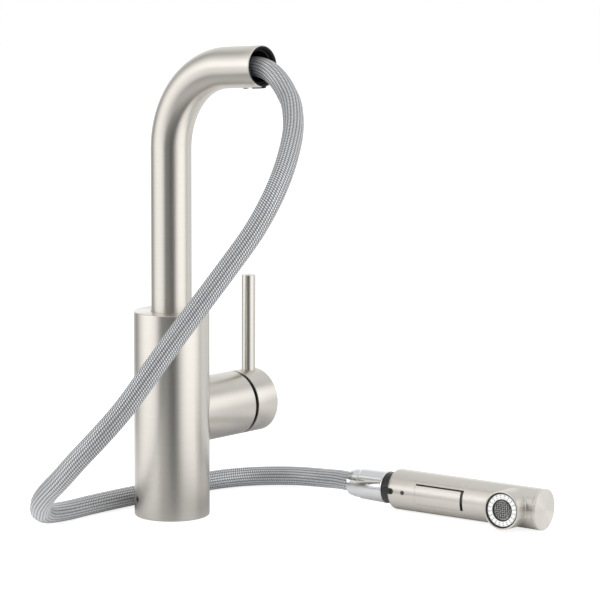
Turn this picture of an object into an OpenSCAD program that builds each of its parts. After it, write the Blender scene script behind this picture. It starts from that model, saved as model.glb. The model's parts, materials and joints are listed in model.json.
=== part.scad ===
// Single-lever kitchen faucet with a swivelling spout and a pull-out spray on a braided hose.
// The faucet stands on its base. The spray lies beside it, pulled out on its hose.
// Origin: centre of the base's underside. Spout towards -Y, lever towards +X, +Z up.

/* [Body] */
// Outer diameter of the round body
body_d = 53; // [50:0.5:60]
// Height of the body
body_h = 145; // [140:1:170]
// Wall of the body tube
body_wall = 2; // [1.5:0.25:2.5]
// Thickness of the body's top plate
body_top = 6; // [4:0.5:8]
// Bevel on the body's edges
edge_bevel = 0.8; // [0.3:0.1:1.2]

/* [Base] */
// Thickness of the base plate
plate_t = 18; // [16:1:22]
// Bore of the threaded water ports in the base plate
port_d = 9; // [8:0.5:9.5]
// Distance of the hot and cold ports from the middle
port_y = 10.5; // [10.5:0.25:11.5]
// Bore of the holes for the fixing studs
stud_hole_d = 7; // [5:0.5:7]
// Depth of the holes for the fixing studs
stud_hole_depth = 12; // [8:1:14]
// Outer diameter of the copper water tubes
water_tube_d = 8; // [6:0.5:8]
// Diameter of the screw that locks the body to the base plate
base_screw_d = 4; // [3:0.5:5]
// Height of that screw above the counter
base_screw_z = 12.5; // [9:0.5:13]
// Direction of that screw, seen from above
base_screw_angle = 158; // [150:1:170]

/* [Spout] */
// Outer diameter of the spout tube
spout_d = 28.4; // [26:0.2:30]
// Wall of the spout tube
spout_wall = 1.5; // [1.2:0.1:2]
// Height where the spout starts to bend
spout_rise = 258.5; // [240:0.5:290]
// Radius of the bend at the middle of the tube
bend_r = 59; // [50:1:75]
// Upward tilt of the outlet
spout_tilt = 4.2; // [0:0.2:10]
// Straight length of the outlet
spout_run = 32.4; // [30:0.2:60]
// Depth of the spout's end in the body
spout_depth = 45; // [42:1:46]
// Turn of the spout to each side
swivel_limit = 60; // [30:5:60]
// Length of the black sleeve in the outlet
dock_l = 26; // [22:1:30]
// Width of the key that stops the spray from turning in the outlet
key_w = 4.3; // [3:0.1:5]
// Length of the key slot under the outlet
key_slot_l = 9; // [6:0.5:12]

/* [Valve] */
// Distance from the body's top down to the lever's axis
valve_drop = 74; // [72:0.5:80]
// Outer diameter of the valve housing and of the lever cap
housing_d = 45.5; // [44:0.5:48]
// Distance from the body's axis to the end of the housing
housing_end = 63; // [62:0.5:66]
// Diameter of the cartridge
cartridge_d = 35; // [34:0.5:36]
// Distance from the body's axis to the point that the lever tilts about
pivot_x = 43; // [42:0.5:44]
// Largest tilt of the lever
tilt_limit = 22; // [10:1:22]
// Open gap between the housing and the cap
cap_gap = 1.6; // [1.2:0.1:2.2]
// Distance from the body's axis to the end of the cap
cap_end = 85.2; // [84.2:0.2:92]
// Side of the square stem
stem_w = 7.8; // [6:0.2:8]
// Diameter of the lever's rod
rod_d = 10; // [7:0.5:11]
// Distance from the body's axis to the rod
rod_x = 78; // [77:0.5:79]
// Height of the rod's top above the counter
rod_top = 162.3; // [120:0.5:200]

/* [Hose] */
// Outer diameter of the braided hose
hose_d = 13.8; // [12:0.2:14]
// Distance of the hose from the middle where it leaves the base
hose_offset = 10; // [10:0.25:11]
// Length inside the outlet over which the hose bends down
hose_dip_l = 14; // [10:0.5:18]
// Height that the hose has lost where it leaves the outlet
hose_dip = 1.1; // [0.5:0.1:2]
// Angle below level at which the hose leaves the outlet
hose_dip_angle = 11; // [5:1:15]

/* [Spray] */
// Outer diameter of the spray's shell
spray_d = 28.8; // [27:0.2:31]
// Length of the spray's shell and end cap
spray_l = 118; // [112:1:140]
// Wall of the shell
spray_wall = 1.6; // [1.2:0.1:2]
// Rounding of the shell's rear end
spray_round = 3.2; // [2:0.2:3.6]
// Thickness of the end cap's rim
cap_rim = 3; // [2:0.5:5]
// Distance from the end cap's face to the nozzle's middle
nozzle_from_end = 20.3; // [20:0.1:28]
// Distance from the shell's axis to the nozzle's face
nozzle_reach = 25.3; // [24:0.1:30]
// Outer diameter of the nozzle
nozzle_d = 26.8; // [26:0.2:28]
// Start of the button, from the shell's rear end
button_x = 21.7; // [20:0.5:24]
// Length of the button
button_l = 36.6; // [34:0.5:38]
// Height of the button's upper edge above the shell's middle
button_up = 6.5; // [6:0.1:7]
// Depth of the button's lower edge below the shell's middle
button_down = 6.75; // [6:0.05:7]
// Open slot above the button
slot_up = 0.95; // [0.6:0.05:1.2]
// Open slot at the button's front end
slot_front = 2.2; // [1.5:0.1:2.6]
// Angle that the button can be pressed
press_limit = 4; // [2:0.5:4]
// Length of the chromed nut behind the black collar
nut_l = 31; // [28:1:34]
// Length of the black collar that shows between the nut and the shell
collar_l = 8; // [6:0.5:10]
// Largest diameter of the chromed nut
nut_d = 23.2; // [22.6:0.2:24]

/* [Spray position] */
// Place of the shell's rear end in X
spray_x = 122; // [100:1:200]
// Place of the shell's rear end in Y
spray_y = -106; // [-200:1:-100]
// Direction of the spray, seen from above
spray_turn = -81; // [-120:1:-60]
// Roll of the spray about its own axis
spray_roll = 3.5; // [-5:0.5:10]

/* [Hidden] */
$fn = 96;
eps = 0.02;
seat_gap = 0.1;
slide_gap = 0.05;
loose_gap = 0.2;
press_gap = 0.04;
seam_step = 0.1;

body_bore = body_d - 2 * body_wall;
valve_z = body_h - valve_drop;
top_hole_d = spout_d + 0.8;
plate_d = body_bore - 2 * seat_gap;
port_x = 6.5;
mixed_x = 7;
socket_d = water_tube_d + 2 * seat_gap;
socket_depth = 6;
hose_hole_d = hose_d + 4.4;
guide_d = hose_hole_d - 2 * seat_gap;
guide_bore = hose_d + 3;
guide_lip = 2;
stud_x = -6.5;
stud_y = 15.7;
gasket_t = 1.8;
gasket_w = 1.8;
gasket_inset = 1.1;
gasket_out = plate_d / 2 - gasket_inset;
gasket_in = gasket_out - gasket_w;

spout_bore = spout_d - 2 * spout_wall;
spout_foot = body_h - spout_depth;
mouth_y = -bend_r * (1 - sin(spout_tilt)) - spout_run * cos(spout_tilt);
mouth_z = spout_rise + bend_r * cos(spout_tilt) + spout_run * sin(spout_tilt);
groove_z = spout_foot + 1.4;
groove_w = 1.6;
groove_depth = 0.7;
clip_t = 1.4;
clip_d = spout_d + 4.6;
carrier_z = spout_foot + 4;
carrier_top = body_h - body_top;
carrier_d = body_bore - 2 * loose_gap;
carrier_bore = spout_d + 4;
bush_d = carrier_bore - 2 * slide_gap;
bush_bore = spout_d + 2 * slide_gap;
bush_h = 11.5;
ring_wire = (carrier_bore - spout_d) / 2 - 2 * slide_gap;
stop_in = clip_d / 2 + 0.7;
stop_out = stop_in + 3;
lug_half = 13;
stop_play = 2;
dock_d = spout_bore - 2 * seat_gap;
dock_bore = dock_d - 4;
dock_lip_bore = dock_d - 2.2;
dock_lip_l = 3;
dock_screw_d = 3.6;
dock_screw_x = 16.5;

neck_d = 38.6;
neck_x = 12;
floor_x = 20;
floor_t = 4;
cartridge_bore = cartridge_d + 2 * loose_gap;
nut_thread_d = cartridge_d + 3;
neck_bore = 30;
boss_d = neck_bore - 2 * loose_gap;
port_low = 6.5;
port_side = 7;
port_high = 8;
port_bore = 7;
manifold_x = 2.5;
manifold_below = 25;
manifold_above = 15;
manifold_low = valve_z - manifold_below;
manifold_high = valve_z + manifold_above;
seal_t = 2;
cartridge_x = floor_x + floor_t + seal_t;
cartridge_l = 26;
cartridge_lid = 5;
chamber_d = cartridge_d - 7.8;
chamber_end = cartridge_x + cartridge_l - cartridge_lid;
foot_l = 3.4;
disc_x = cartridge_x + foot_l;
disc_t = 3.5;
slider_x = disc_x + disc_t + slide_gap;
slider_t = 5;
slider_d = 19;
ball_d = 5;
ball_x = slider_x + slider_t - 0.85;
turner_x = slider_x + slider_t + 0.35;
turner_d = chamber_d - 2 * loose_gap;
slot_half = 8.2;
stem_pin_d = 2.5;
nut_ring_x = cartridge_x + cartridge_l;
nut_ring_l = 9;
nut_ring_bore = 27;
housing_r = sqrt(pow(housing_end - pivot_x, 2) + pow(housing_d / 2, 2));
cap_sphere_r = housing_r + 0.35;
dome_r = cap_sphere_r - 0.5;
dome_d = 42.4;
dome_bore = 35;
dome_hole = 14.4;
dome_x = nut_ring_x + nut_ring_l + seat_gap;
cap_x = housing_end + cap_gap;
rod_foot = valve_z + 8.2;
stem_end = rod_x + 4;
grub_d = 5;
grub_l = 6;

tail_z = 3;
tail_l = 25;
tail_bore = 8;
tail_bore_l = 18;
tail_d = hose_d + 2.4;
inner_low = tail_z + tail_l;
meet_up = 14;
inner_top = carrier_z + meet_up;

spray_z = spray_d / 2;
spray_bore = spray_d - 2 * spray_wall;
rear_hole_d = spray_d - 2 * spray_round + 0.2;
collar_d = rear_hole_d - 2 * seat_gap;
collar_bore = 14.4;
key_l = 3.3;
water_d = 13;
water_bore = 8;
stub_d = 12.4;
stub_x = -20;
rib_d = spray_bore - 2 * loose_gap;
spray_screw_x = 11.5;
spray_screw_d = 3;
plug_l = 7;
cap_x0 = spray_l - cap_rim;
nozzle_x = spray_l - nozzle_from_end;
nozzle_bore = nozzle_d - 2;
insert_d = nozzle_bore - 2 * seat_gap;
insert_front = nozzle_reach - 0.8;
insert_back = insert_front - 9;
face_d = 22.6;
face_in = 15.4;
face_t = 3;
jet_ring_d = (face_d + face_in) / 2;
jets = 20;
aerator_d = 15.2;
mesh_d = 13.4;
mesh_t = 0.8;
branch_d = 20;
slot_side = 0.2;
slot_rear = 0.25;
button_pin_x = button_x + 2.8;
button_pin_y = 10.5;
button_pin_d = 2;
button_pin_l = 10;
bracket_w = 4.8;
lug_t = 1.6;
plunger_x = button_pin_x + 21.5;
plunger_d = 4;
spring_r = 3.1;
spring_wire = 0.6;
nut_x = -collar_l - seat_gap;
nut_rear_x = nut_x - nut_l + 0.3;
nut_bore = stub_d + 2 * slide_gap;
ferrule_d = hose_d + 2;
ferrule_l = 14.5;
washer_t = 2;

// Way of the hose inside the outlet
hose_dip_start = hose_dip_l + 0.5;
hose_mouth = [[0, mouth_y + hose_dip_start * cos(spout_tilt), mouth_z - hose_dip_start * sin(spout_tilt)],
    [0, mouth_y + hose_dip_l / 2, mouth_z - hose_dip / 2], [0, mouth_y, mouth_z - hose_dip]];
hose_way = [0, -cos(hose_dip_angle), -sin(hose_dip_angle)];

// Route of the free hose: out of the outlet, down past the front, round and along the counter
hose_a = [hose_mouth[2], [-0.6, -93.4, 317], [-2, -101, 313.6], [-4.2, -108.4, 309], [-8, -116.4, 303.8],
    [-13.5, -125.2, 298.6], [-22, -135, 291], [-34, -146, 282], [-48, -156, 272], [-63, -164, 259],
    [-78, -168, 243], [-92, -166, 224], [-107, -160, 204], [-123, -152, 182], [-139, -143, 159],
    [-154, -134, 136], [-167, -124, 114], [-178, -114, 97], [-185, -102, 82], [-188, -89, 68],
    [-186, -76, 58], [-179, -62, 49], [-167, -47, 41], [-152, -30, 34], [-135, -11, 27], [-117, 8, 20],
    [-99, 23, 13], [-82, 33, 9], [-64, 38, 7], [-42, 39, 7], [-16, 39, 7], [10, 38, 7]];
hose_b = [[10, 38, 7], [36, 37, 7], [61, 34.5, 7], [83, 30.5, 7], [101.5, 22.5, 7], [115.5, 10, 7.3],
    [124, -5, 8], [126, -21, 9.2], [123.3, -38, 11.2], [119, -53, 13.4], spray_point(nut_rear_x)];
hose_sides = 10;

function spray_point(x) = [spray_x + x * cos(spray_turn), spray_y + x * sin(spray_turn), spray_z];
function unit(v) = v / norm(v);
function along(p, i) = unit(p[min(i + 1, len(p) - 1)] - p[max(i - 1, 0)]);
function square_to(v, t) = unit(v - (v * t) * t);
function carried(p, v, i = 0, out = []) =
    i == len(p) ? out
    : let (n = square_to(v, along(p, i))) carried(p, n, i + 1, concat(out, [n]));

// Tube or ring along +Z
module ring(outer, inner, h) {
    difference() {
        cylinder(d = outer, h = h);
        translate([0, 0, -eps]) cylinder(d = inner, h = h + 2 * eps);
    }
}

// Solid that follows a list of points, with ends square to the route
module swept(points, d, start, end) {
    last = len(points) - 1;
    first_n = square_to([0.31, 0.17, 0.93], start);
    normals = carried(points, first_n);
    rings = [for (i = [0:last])
        let (t = i == 0 ? start : i == last ? end : along(points, i))
        let (n = square_to(normals[i], t))
        let (b = cross(t, n))
        for (k = [0:hose_sides - 1])
            let (a = 360 * k / hose_sides)
            points[i] + d / 2 * (cos(a) * n + sin(a) * b)];
    sides = [for (i = [0:last - 1])
        for (k = [0:hose_sides - 1])
            let (j = (k + 1) % hose_sides)
            [i * hose_sides + k, (i + 1) * hose_sides + k, (i + 1) * hose_sides + j, i * hose_sides + j]];
    first_cap = [for (k = [0:hose_sides - 1]) k];
    last_cap = [for (k = [0:hose_sides - 1]) (last + 1) * hose_sides - 1 - k];
    polyhedron(points = rings, faces = concat(sides, [first_cap], [last_cap]));
}

// Places: along the valve's axis, along the outlet's axis, and in the spray's own frame
module on_valve(x) {
    translate([x, 0, valve_z]) rotate([0, 90, 0]) children();
}

module on_outlet() {
    translate([0, mouth_y, mouth_z]) rotate([90 - spout_tilt, 0, 0]) children();
}

module on_spray() {
    translate([spray_x, spray_y, spray_z]) rotate([0, 0, spray_turn]) rotate([-spray_roll, 0, 0]) children();
}

module spray_axis(x) {
    translate([x, 0, 0]) rotate([0, 90, 0]) children();
}

// Towards the nozzle's side: +Z of the children points out of the shell
module spray_side(x, reach = 0) {
    translate([x, -reach, 0]) rotate([90, 0, 0]) children();
}

// Body and base
module body_shell() {
    color("#c9c6c0") difference() {
        union() {
            cylinder(d = body_d, h = body_h - edge_bevel);
            translate([0, 0, body_h - edge_bevel])
                cylinder(d1 = body_d, d2 = body_d - 2 * edge_bevel, h = edge_bevel);
        }
        translate([0, 0, -eps]) cylinder(d = body_bore, h = carrier_top + eps);
        cylinder(d = top_hole_d, h = body_h + eps);
        on_valve(0) cylinder(d = neck_d + 2 * loose_gap, h = body_d);
        translate([0, 0, base_screw_z]) rotate([0, 0, base_screw_angle]) rotate([0, 90, 0])
            cylinder(d = base_screw_d + 0.6, h = body_d);
    }
}

module base_plate() {
    color("#b9b4a8") difference() {
        cylinder(d = plate_d, h = plate_t);
        translate([-hose_offset, 0, -eps]) cylinder(d = hose_hole_d, h = plate_t + 2 * eps);
        for (p = [[port_x, port_y], [port_x, -port_y], [mixed_x, 0]]) {
            translate([p[0], p[1], -eps]) cylinder(d = port_d, h = plate_t - socket_depth + 2 * eps);
            translate([p[0], p[1], plate_t - socket_depth]) cylinder(d = socket_d, h = socket_depth + eps);
        }
        for (s = [-1, 1])
            translate([stud_x, s * stud_y, -eps]) cylinder(d = stud_hole_d, h = stud_hole_depth + eps);
        translate([0, 0, -eps])
            ring(2 * (gasket_out + slide_gap), 2 * (gasket_in - slide_gap), gasket_t + eps);
        translate([0, 0, base_screw_z]) rotate([0, 0, base_screw_angle]) rotate([0, 90, 0])
            translate([0, 0, plate_d / 2 - 3.6]) cylinder(d = base_screw_d, h = 6);
    }
}

module base_gasket() {
    color("#1d1d1f") ring(2 * gasket_out, 2 * gasket_in, gasket_t);
}

module base_screw() {
    color("#55585c") translate([0, 0, base_screw_z]) rotate([0, 0, base_screw_angle]) rotate([0, 90, 0])
        translate([0, 0, plate_d / 2 - 3.5]) difference() {
            cylinder(d = base_screw_d - 2 * slide_gap, h = 4.6);
            translate([0, 0, 2.6]) cylinder(d = base_screw_d / 2, h = 3, $fn = 6);
        }
}

module hose_guide() {
    color("#2a2a2c") translate([-hose_offset, 0, 0]) {
        translate([0, 0, seat_gap]) ring(guide_d, guide_bore, plate_t - seat_gap + eps);
        translate([0, 0, plate_t]) ring(guide_d + 3, guide_bore, guide_lip);
    }
}

// Copper tubes from the base plate to the manifold
module water_tube(x, y) {
    low = plate_t - socket_depth + slide_gap;
    high = manifold_low + socket_depth - slide_gap;
    color("#b87346") translate([x, y, low]) ring(water_tube_d, water_tube_d - 2, high - low);
}

module hot_tube() {
    water_tube(port_x, port_y);
}

module cold_tube() {
    water_tube(port_x, -port_y);
}

module mixed_tube() {
    water_tube(mixed_x, 0);
}

// Brass block that joins the tubes to the valve
module valve_manifold() {
    drill_d = water_tube_d - 2;
    low_h = valve_z - port_low - manifold_low;
    high_h = valve_z + port_high - manifold_low;
    color("#c2a14d") difference() {
        union() {
            intersection() {
                translate([0, 0, manifold_low])
                    cylinder(d = body_bore - 2 * loose_gap, h = manifold_high - manifold_low);
                translate([manifold_x, -body_d, 0])
                    cube([neck_x - loose_gap - manifold_x, 2 * body_d, body_h]);
            }
            on_valve(neck_x - 1) cylinder(d = boss_d, h = floor_x - seat_gap - neck_x + 1);
        }
        for (p = [[port_x, port_y], [port_x, -port_y], [mixed_x, 0]])
            translate([p[0], p[1], manifold_low - eps]) cylinder(d = socket_d, h = socket_depth + eps);
        for (s = [-1, 1]) {
            translate([port_x, s * port_y, manifold_low]) cylinder(d = drill_d, h = low_h);
            translate([port_x, s * port_side, manifold_low + low_h])
                rotate([0, 90, 0]) cylinder(d = port_bore, h = floor_x);
        }
        translate([mixed_x, 0, manifold_low]) cylinder(d = drill_d, h = high_h);
        translate([mixed_x, 0, manifold_low + high_h])
            rotate([0, 90, 0]) cylinder(d = port_bore, h = floor_x);
    }
}

// Water passages through the housing's floor, the seal and the cartridge's foot
module passages(x, l, d) {
    for (p = [[port_low, port_side], [port_low, -port_side], [-port_high, 0]])
        on_valve(x) translate([p[0], p[1], 0]) cylinder(d = d, h = l);
}

// Side housing that holds the cartridge
module valve_housing() {
    color("#c9c6c0") difference() {
        union() {
            difference() {
                on_valve(0) cylinder(d = housing_d, h = housing_end);
                cylinder(d = body_d + 2 * seat_gap, h = body_h);
            }
            on_valve(neck_x) cylinder(d = neck_d, h = body_d / 2);
        }
        on_valve(0) cylinder(d = neck_bore, h = floor_x);
        on_valve(floor_x + floor_t) cylinder(d = cartridge_bore, h = housing_end);
        on_valve(nut_ring_x) cylinder(d = nut_thread_d, h = housing_end);
        passages(floor_x - eps, floor_t + 2 * eps, port_bore);
    }
}

// Cartridge that mixes and shuts the water
module cartridge_seal() {
    color("#26262a") difference() {
        on_valve(floor_x + floor_t) cylinder(d = cartridge_d - 0.6, h = seal_t);
        passages(floor_x + floor_t - eps, seal_t + 2 * eps, port_bore - 1);
    }
}

module cartridge_case() {
    color("#e4e4e0") difference() {
        on_valve(cartridge_x) cylinder(d = cartridge_d, h = cartridge_l);
        on_valve(cartridge_x - eps) cylinder(d = chamber_d, h = chamber_end - cartridge_x + eps);
        on_valve(chamber_end - 1) cylinder(d = 21, h = cartridge_lid + 2);
    }
}

module cartridge_foot() {
    color("#4b6c8c") difference() {
        on_valve(cartridge_x) cylinder(d = chamber_d - 2 * seat_gap, h = foot_l);
        passages(cartridge_x - eps, foot_l + 2 * eps, port_bore - 1);
    }
}

module fixed_disc() {
    color("#f2f2ee") difference() {
        on_valve(disc_x) cylinder(d = chamber_d - 2 * seat_gap, h = disc_t);
        passages(disc_x - eps, disc_t + 2 * eps, port_bore - 2);
    }
}

module moving_disc() {
    color("#e6e6df") difference() {
        on_valve(slider_x) cylinder(d = slider_d, h = slider_t);
        on_valve(ball_x - ball_d / 2 - 0.2) cylinder(d = ball_d + 0.6, h = slider_t);
    }
}

module stem_turner() {
    color("#d6d6d0") difference() {
        on_valve(turner_x) cylinder(d = turner_d, h = chamber_end - turner_x - seat_gap);
        translate([turner_x - 1, -stem_w / 2 - loose_gap, valve_z - slot_half])
            cube([cartridge_l, stem_w + 2 * loose_gap, 2 * slot_half]);
        translate([pivot_x, 0, valve_z]) rotate([90, 0, 0])
            cylinder(d = stem_pin_d + press_gap, h = cartridge_d, center = true);
    }
}

module stem_pin() {
    color("#9a9da1") translate([pivot_x, 0, valve_z]) rotate([90, 0, 0])
        cylinder(d = stem_pin_d, h = turner_d - 1.4, center = true);
}

module lever_stem() {
    block_x = pivot_x - 3;
    color("#a8aaad") difference() {
        union() {
            translate([ball_x, 0, valve_z]) sphere(d = ball_d);
            on_valve(ball_x) cylinder(d = 3.6, h = block_x - ball_x + 1);
            translate([block_x, -stem_w / 2, valve_z - stem_w / 2])
                cube([stem_end - block_x, stem_w, stem_w]);
        }
        translate([pivot_x, 0, valve_z]) rotate([90, 0, 0])
            cylinder(d = stem_pin_d + 2 * slide_gap, h = 2 * stem_w, center = true);
    }
}

module cartridge_nut() {
    color("#c2a14d") difference() {
        on_valve(nut_ring_x) ring(nut_thread_d - 2 * seat_gap, nut_ring_bore, nut_ring_l);
        for (a = [0, 90])
            on_valve(nut_ring_x + nut_ring_l - 3) rotate([0, 0, a])
                translate([-housing_d, -2, 0]) cube([2 * housing_d, 4, 4]);
    }
}

// Dark ring in the gap, with a round face that the cap swings over
module dome_ring() {
    color("#1f1f21") difference() {
        union() {
            intersection() {
                translate([pivot_x, 0, valve_z]) sphere(r = dome_r);
                on_valve(housing_end + slide_gap) cylinder(d = dome_d, h = housing_d);
            }
            on_valve(dome_x) cylinder(d = nut_thread_d - 2 * seat_gap, h = housing_end + 1 - dome_x);
        }
        on_valve(dome_x - 1) cylinder(d = dome_hole, h = housing_d);
        on_valve(dome_x - 1) rotate([0, 0, -90])
            rotate_extrude(angle = 180) square([dome_bore / 2, housing_d]);
    }
}

// Cap, rod and the screw that fixes them to the stem
module lever_cap() {
    color("#c9c6c0") difference() {
        union() {
            on_valve(cap_x) cylinder(d = housing_d, h = cap_end - cap_x - edge_bevel);
            on_valve(cap_end - edge_bevel)
                cylinder(d1 = housing_d, d2 = housing_d - 2 * edge_bevel, h = edge_bevel);
        }
        translate([pivot_x, 0, valve_z]) sphere(r = cap_sphere_r);
        translate([cap_x - 1, -stem_w / 2 - seat_gap, valve_z - stem_w / 2 - seat_gap])
            cube([stem_end + seat_gap + 0.2 - cap_x + 1, stem_w + 2 * seat_gap, stem_w + 2 * seat_gap]);
        translate([rod_x, 0, rod_foot - 0.2]) cylinder(d = rod_d + press_gap, h = housing_d);
        translate([rod_x, 0, valve_z - housing_d]) cylinder(d = grub_d, h = housing_d);
    }
}

module lever_rod() {
    color("#cfccc6") translate([rod_x, 0, rod_foot]) {
        cylinder(d = rod_d, h = rod_top - rod_foot - 0.4);
        translate([0, 0, rod_top - rod_foot - 0.4]) cylinder(d1 = rod_d, d2 = rod_d - 0.8, h = 0.4);
    }
}

module lever_grub_screw() {
    color("#55585c") translate([rod_x, 0, valve_z - stem_w / 2 - seat_gap - grub_l]) difference() {
        cylinder(d = grub_d - 2 * slide_gap, h = grub_l);
        translate([0, 0, -eps]) cylinder(d = grub_d / 2, h = 2.5, $fn = 6);
    }
}

// Bearing of the spout in the body
module spout_carrier() {
    stop_from = -90 + lug_half + swivel_limit + stop_play;
    color("#8d8f92") {
        translate([0, 0, carrier_z]) ring(carrier_d, carrier_bore, carrier_top - carrier_z);
        translate([0, 0, groove_z]) rotate([0, 0, stop_from])
            rotate_extrude(angle = 360 - 2 * (lug_half + swivel_limit + stop_play))
                translate([stop_in, 0]) square([stop_out - stop_in, carrier_z - groove_z]);
    }
}

module upper_bush() {
    color("#ecebe4") translate([0, 0, carrier_top - bush_h]) ring(bush_d, bush_bore, bush_h);
}

module lower_bush() {
    color("#ecebe4") translate([0, 0, carrier_z]) ring(bush_d, bush_bore, bush_h);
}

module spout_o_ring() {
    color("#1d1d1f") translate([0, 0, (carrier_z + carrier_top) / 2])
        rotate_extrude() translate([(carrier_bore + spout_d) / 4, 0]) circle(d = ring_wire);
}

module spout_clip() {
    color("#9a9da1") translate([0, 0, groove_z + seat_gap]) {
        ring(clip_d, spout_d - 2 * groove_depth + seat_gap, clip_t);
        rotate([0, 0, -90 - lug_half]) rotate_extrude(angle = 2 * lug_half)
            translate([clip_d / 2 - 1, 0]) square([stop_out - loose_gap - clip_d / 2 + 1, clip_t]);
    }
}

// Bent tube of one diameter, used for the spout's outside, its bore and the hose in it
module spout_form(d, low, extra) {
    translate([0, 0, low]) cylinder(d = d, h = spout_rise - low);
    translate([0, -bend_r, spout_rise]) rotate([90, 0, 90])
        rotate_extrude(angle = 90 - spout_tilt) translate([bend_r, 0]) circle(d = d);
    on_outlet() translate([0, 0, -spout_run - eps]) cylinder(d = d - seam_step, h = spout_run + extra + eps);
}

module spout_tube() {
    color("#c9c6c0") difference() {
        spout_form(spout_d, spout_foot, 0);
        spout_form(spout_bore, spout_foot - 1, 1);
        translate([0, 0, groove_z]) ring(spout_d + 2, spout_d - 2 * groove_depth, groove_w);
        on_outlet() translate([-key_w / 2, -spout_d, -key_slot_l]) cube([key_w, spout_d, key_slot_l + 1]);
        on_outlet() translate([0, 0, -dock_screw_x])
            rotate([90, 0, 0]) cylinder(d = dock_screw_d + 0.5, h = spout_d);
    }
}

// Black sleeve that the spray docks in
module dock_sleeve() {
    color("#161617") difference() {
        union() {
            on_outlet() translate([0, 0, -dock_l]) ring(dock_d, dock_bore, dock_l - 0.3);
            on_outlet() translate([-key_w / 2 + seat_gap, -spout_d / 2 + seat_gap, -key_slot_l + seat_gap])
                cube([key_w - 2 * seat_gap, spout_wall + 1, key_slot_l - 0.4]);
        }
        on_outlet() translate([0, 0, -dock_lip_l]) cylinder(d = dock_lip_bore, h = dock_lip_l + 1);
        on_outlet() translate([0, 0, -dock_screw_x])
            rotate([90, 0, 0]) cylinder(d = dock_screw_d - 1, h = spout_d);
    }
}

module dock_screw() {
    tip = dock_bore / 2 + 0.3;
    head = spout_d / 2 - spout_wall + slide_gap;
    color("#3a3c3f") on_outlet() translate([0, 0, -dock_screw_x]) rotate([90, 0, 0]) {
        translate([0, 0, tip]) cylinder(d = dock_screw_d - 1 - 2 * slide_gap, h = head + eps - tip);
        translate([0, 0, head]) cylinder(d = dock_screw_d, h = spout_wall - 0.5);
    }
}

// Hose: along the spout, down the body and its tail
module hose_in_spout() {
    color("#8b9096") {
        spout_form(hose_d, inner_top, -hose_dip_l);
        swept(hose_mouth, hose_d, [0, -cos(spout_tilt), sin(spout_tilt)], hose_way);
    }
}

module hose_in_body() {
    drop = inner_top - inner_low;
    route = [for (f = [0, 0.1, 0.2, 0.3, 0.4, 0.5, 0.6, 0.7, 1])
        let (s = min(1, f / 0.7))
        [-hose_offset * s * s * (3 - 2 * s), 0, inner_top - f * drop]];
    color("#8b9096") swept(route, hose_d, [0, 0, -1], [0, 0, -1]);
}

module hose_tail() {
    color("#c2a14d") translate([-hose_offset, 0, tail_z]) difference() {
        cylinder(d = tail_d, h = tail_l);
        translate([0, 0, -eps]) cylinder(d = tail_bore, h = tail_bore_l + eps);
    }
}

module hose_upper() {
    last = len(hose_a) - 1;
    meet = along(concat(hose_a, [hose_b[1]]), last);
    color("#8b9096") swept(hose_a, hose_d, hose_way, meet);
}

module hose_lower() {
    meet = along(concat([hose_a[len(hose_a) - 2]], hose_b), 1);
    color("#8b9096") swept(hose_b, hose_d, meet, [cos(spray_turn), sin(spray_turn), 0]);
}

// Nut, ferrule and washer on the hose's end
module hose_nut() {
    body_l = 20.5;
    step_l = 1;
    color("#dfe2e4") on_spray() difference() {
        union() {
            spray_axis(nut_x - body_l) cylinder(d1 = nut_d - 1.4, d2 = nut_d, h = body_l);
            spray_axis(nut_rear_x + 4.5) cylinder(d = nut_d - 2.4, h = nut_x - body_l - nut_rear_x - 4.5);
            spray_axis(nut_rear_x) cylinder(d1 = nut_d - 7, d2 = nut_d - 2.4, h = 4.5);
        }
        spray_axis(nut_rear_x - 1) cylinder(d = ferrule_d + 2 * seat_gap, h = 1 + ferrule_l + washer_t);
        spray_axis(nut_rear_x) cylinder(d = nut_bore, h = nut_l + 1);
    }
}

module hose_ferrule() {
    color("#c2a14d") on_spray() spray_axis(nut_rear_x) difference() {
        cylinder(d = ferrule_d, h = ferrule_l - seat_gap);
        translate([0, 0, 4]) cylinder(d = 8, h = ferrule_l);
    }
}

module hose_washer() {
    color("#1d1d1f") on_spray() spray_axis(nut_rear_x + ferrule_l)
        ring(ferrule_d - 4, water_bore, washer_t - seat_gap);
}

// Shell of the spray, with its rounded rear end
module spray_shell() {
    color("#c9c6c0") on_spray() difference() {
        union() {
            spray_axis(spray_round) cylinder(d = spray_d, h = cap_x0 - spray_round);
            spray_axis(0) cylinder(d = spray_d - 2 * spray_round, h = spray_round + 1);
            spray_axis(spray_round) rotate_extrude()
                translate([spray_d / 2 - spray_round, 0]) circle(r = spray_round);
        }
        spray_axis(spray_round + 1.3) cylinder(d = spray_bore, h = spray_l);
        spray_axis(-1) cylinder(d = rear_hole_d, h = spray_l);
        translate([-spray_d, -spray_d, -key_w / 2]) cube([spray_d + key_l - key_w / 2, spray_d, key_w]);
        spray_side(key_l - key_w / 2) cylinder(d = key_w, h = spray_d);
        spray_side(spray_screw_x) cylinder(d = spray_screw_d + 0.3, h = spray_d);
        translate([button_x - slot_rear, -spray_d, -button_down - slot_side])
            cube([button_l + slot_rear + slot_front, spray_d, button_down + button_up + slot_side + slot_up]);
        spray_side(nozzle_x) cylinder(d = branch_d + 2 * loose_gap, h = spray_d);
    }
}

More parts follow.
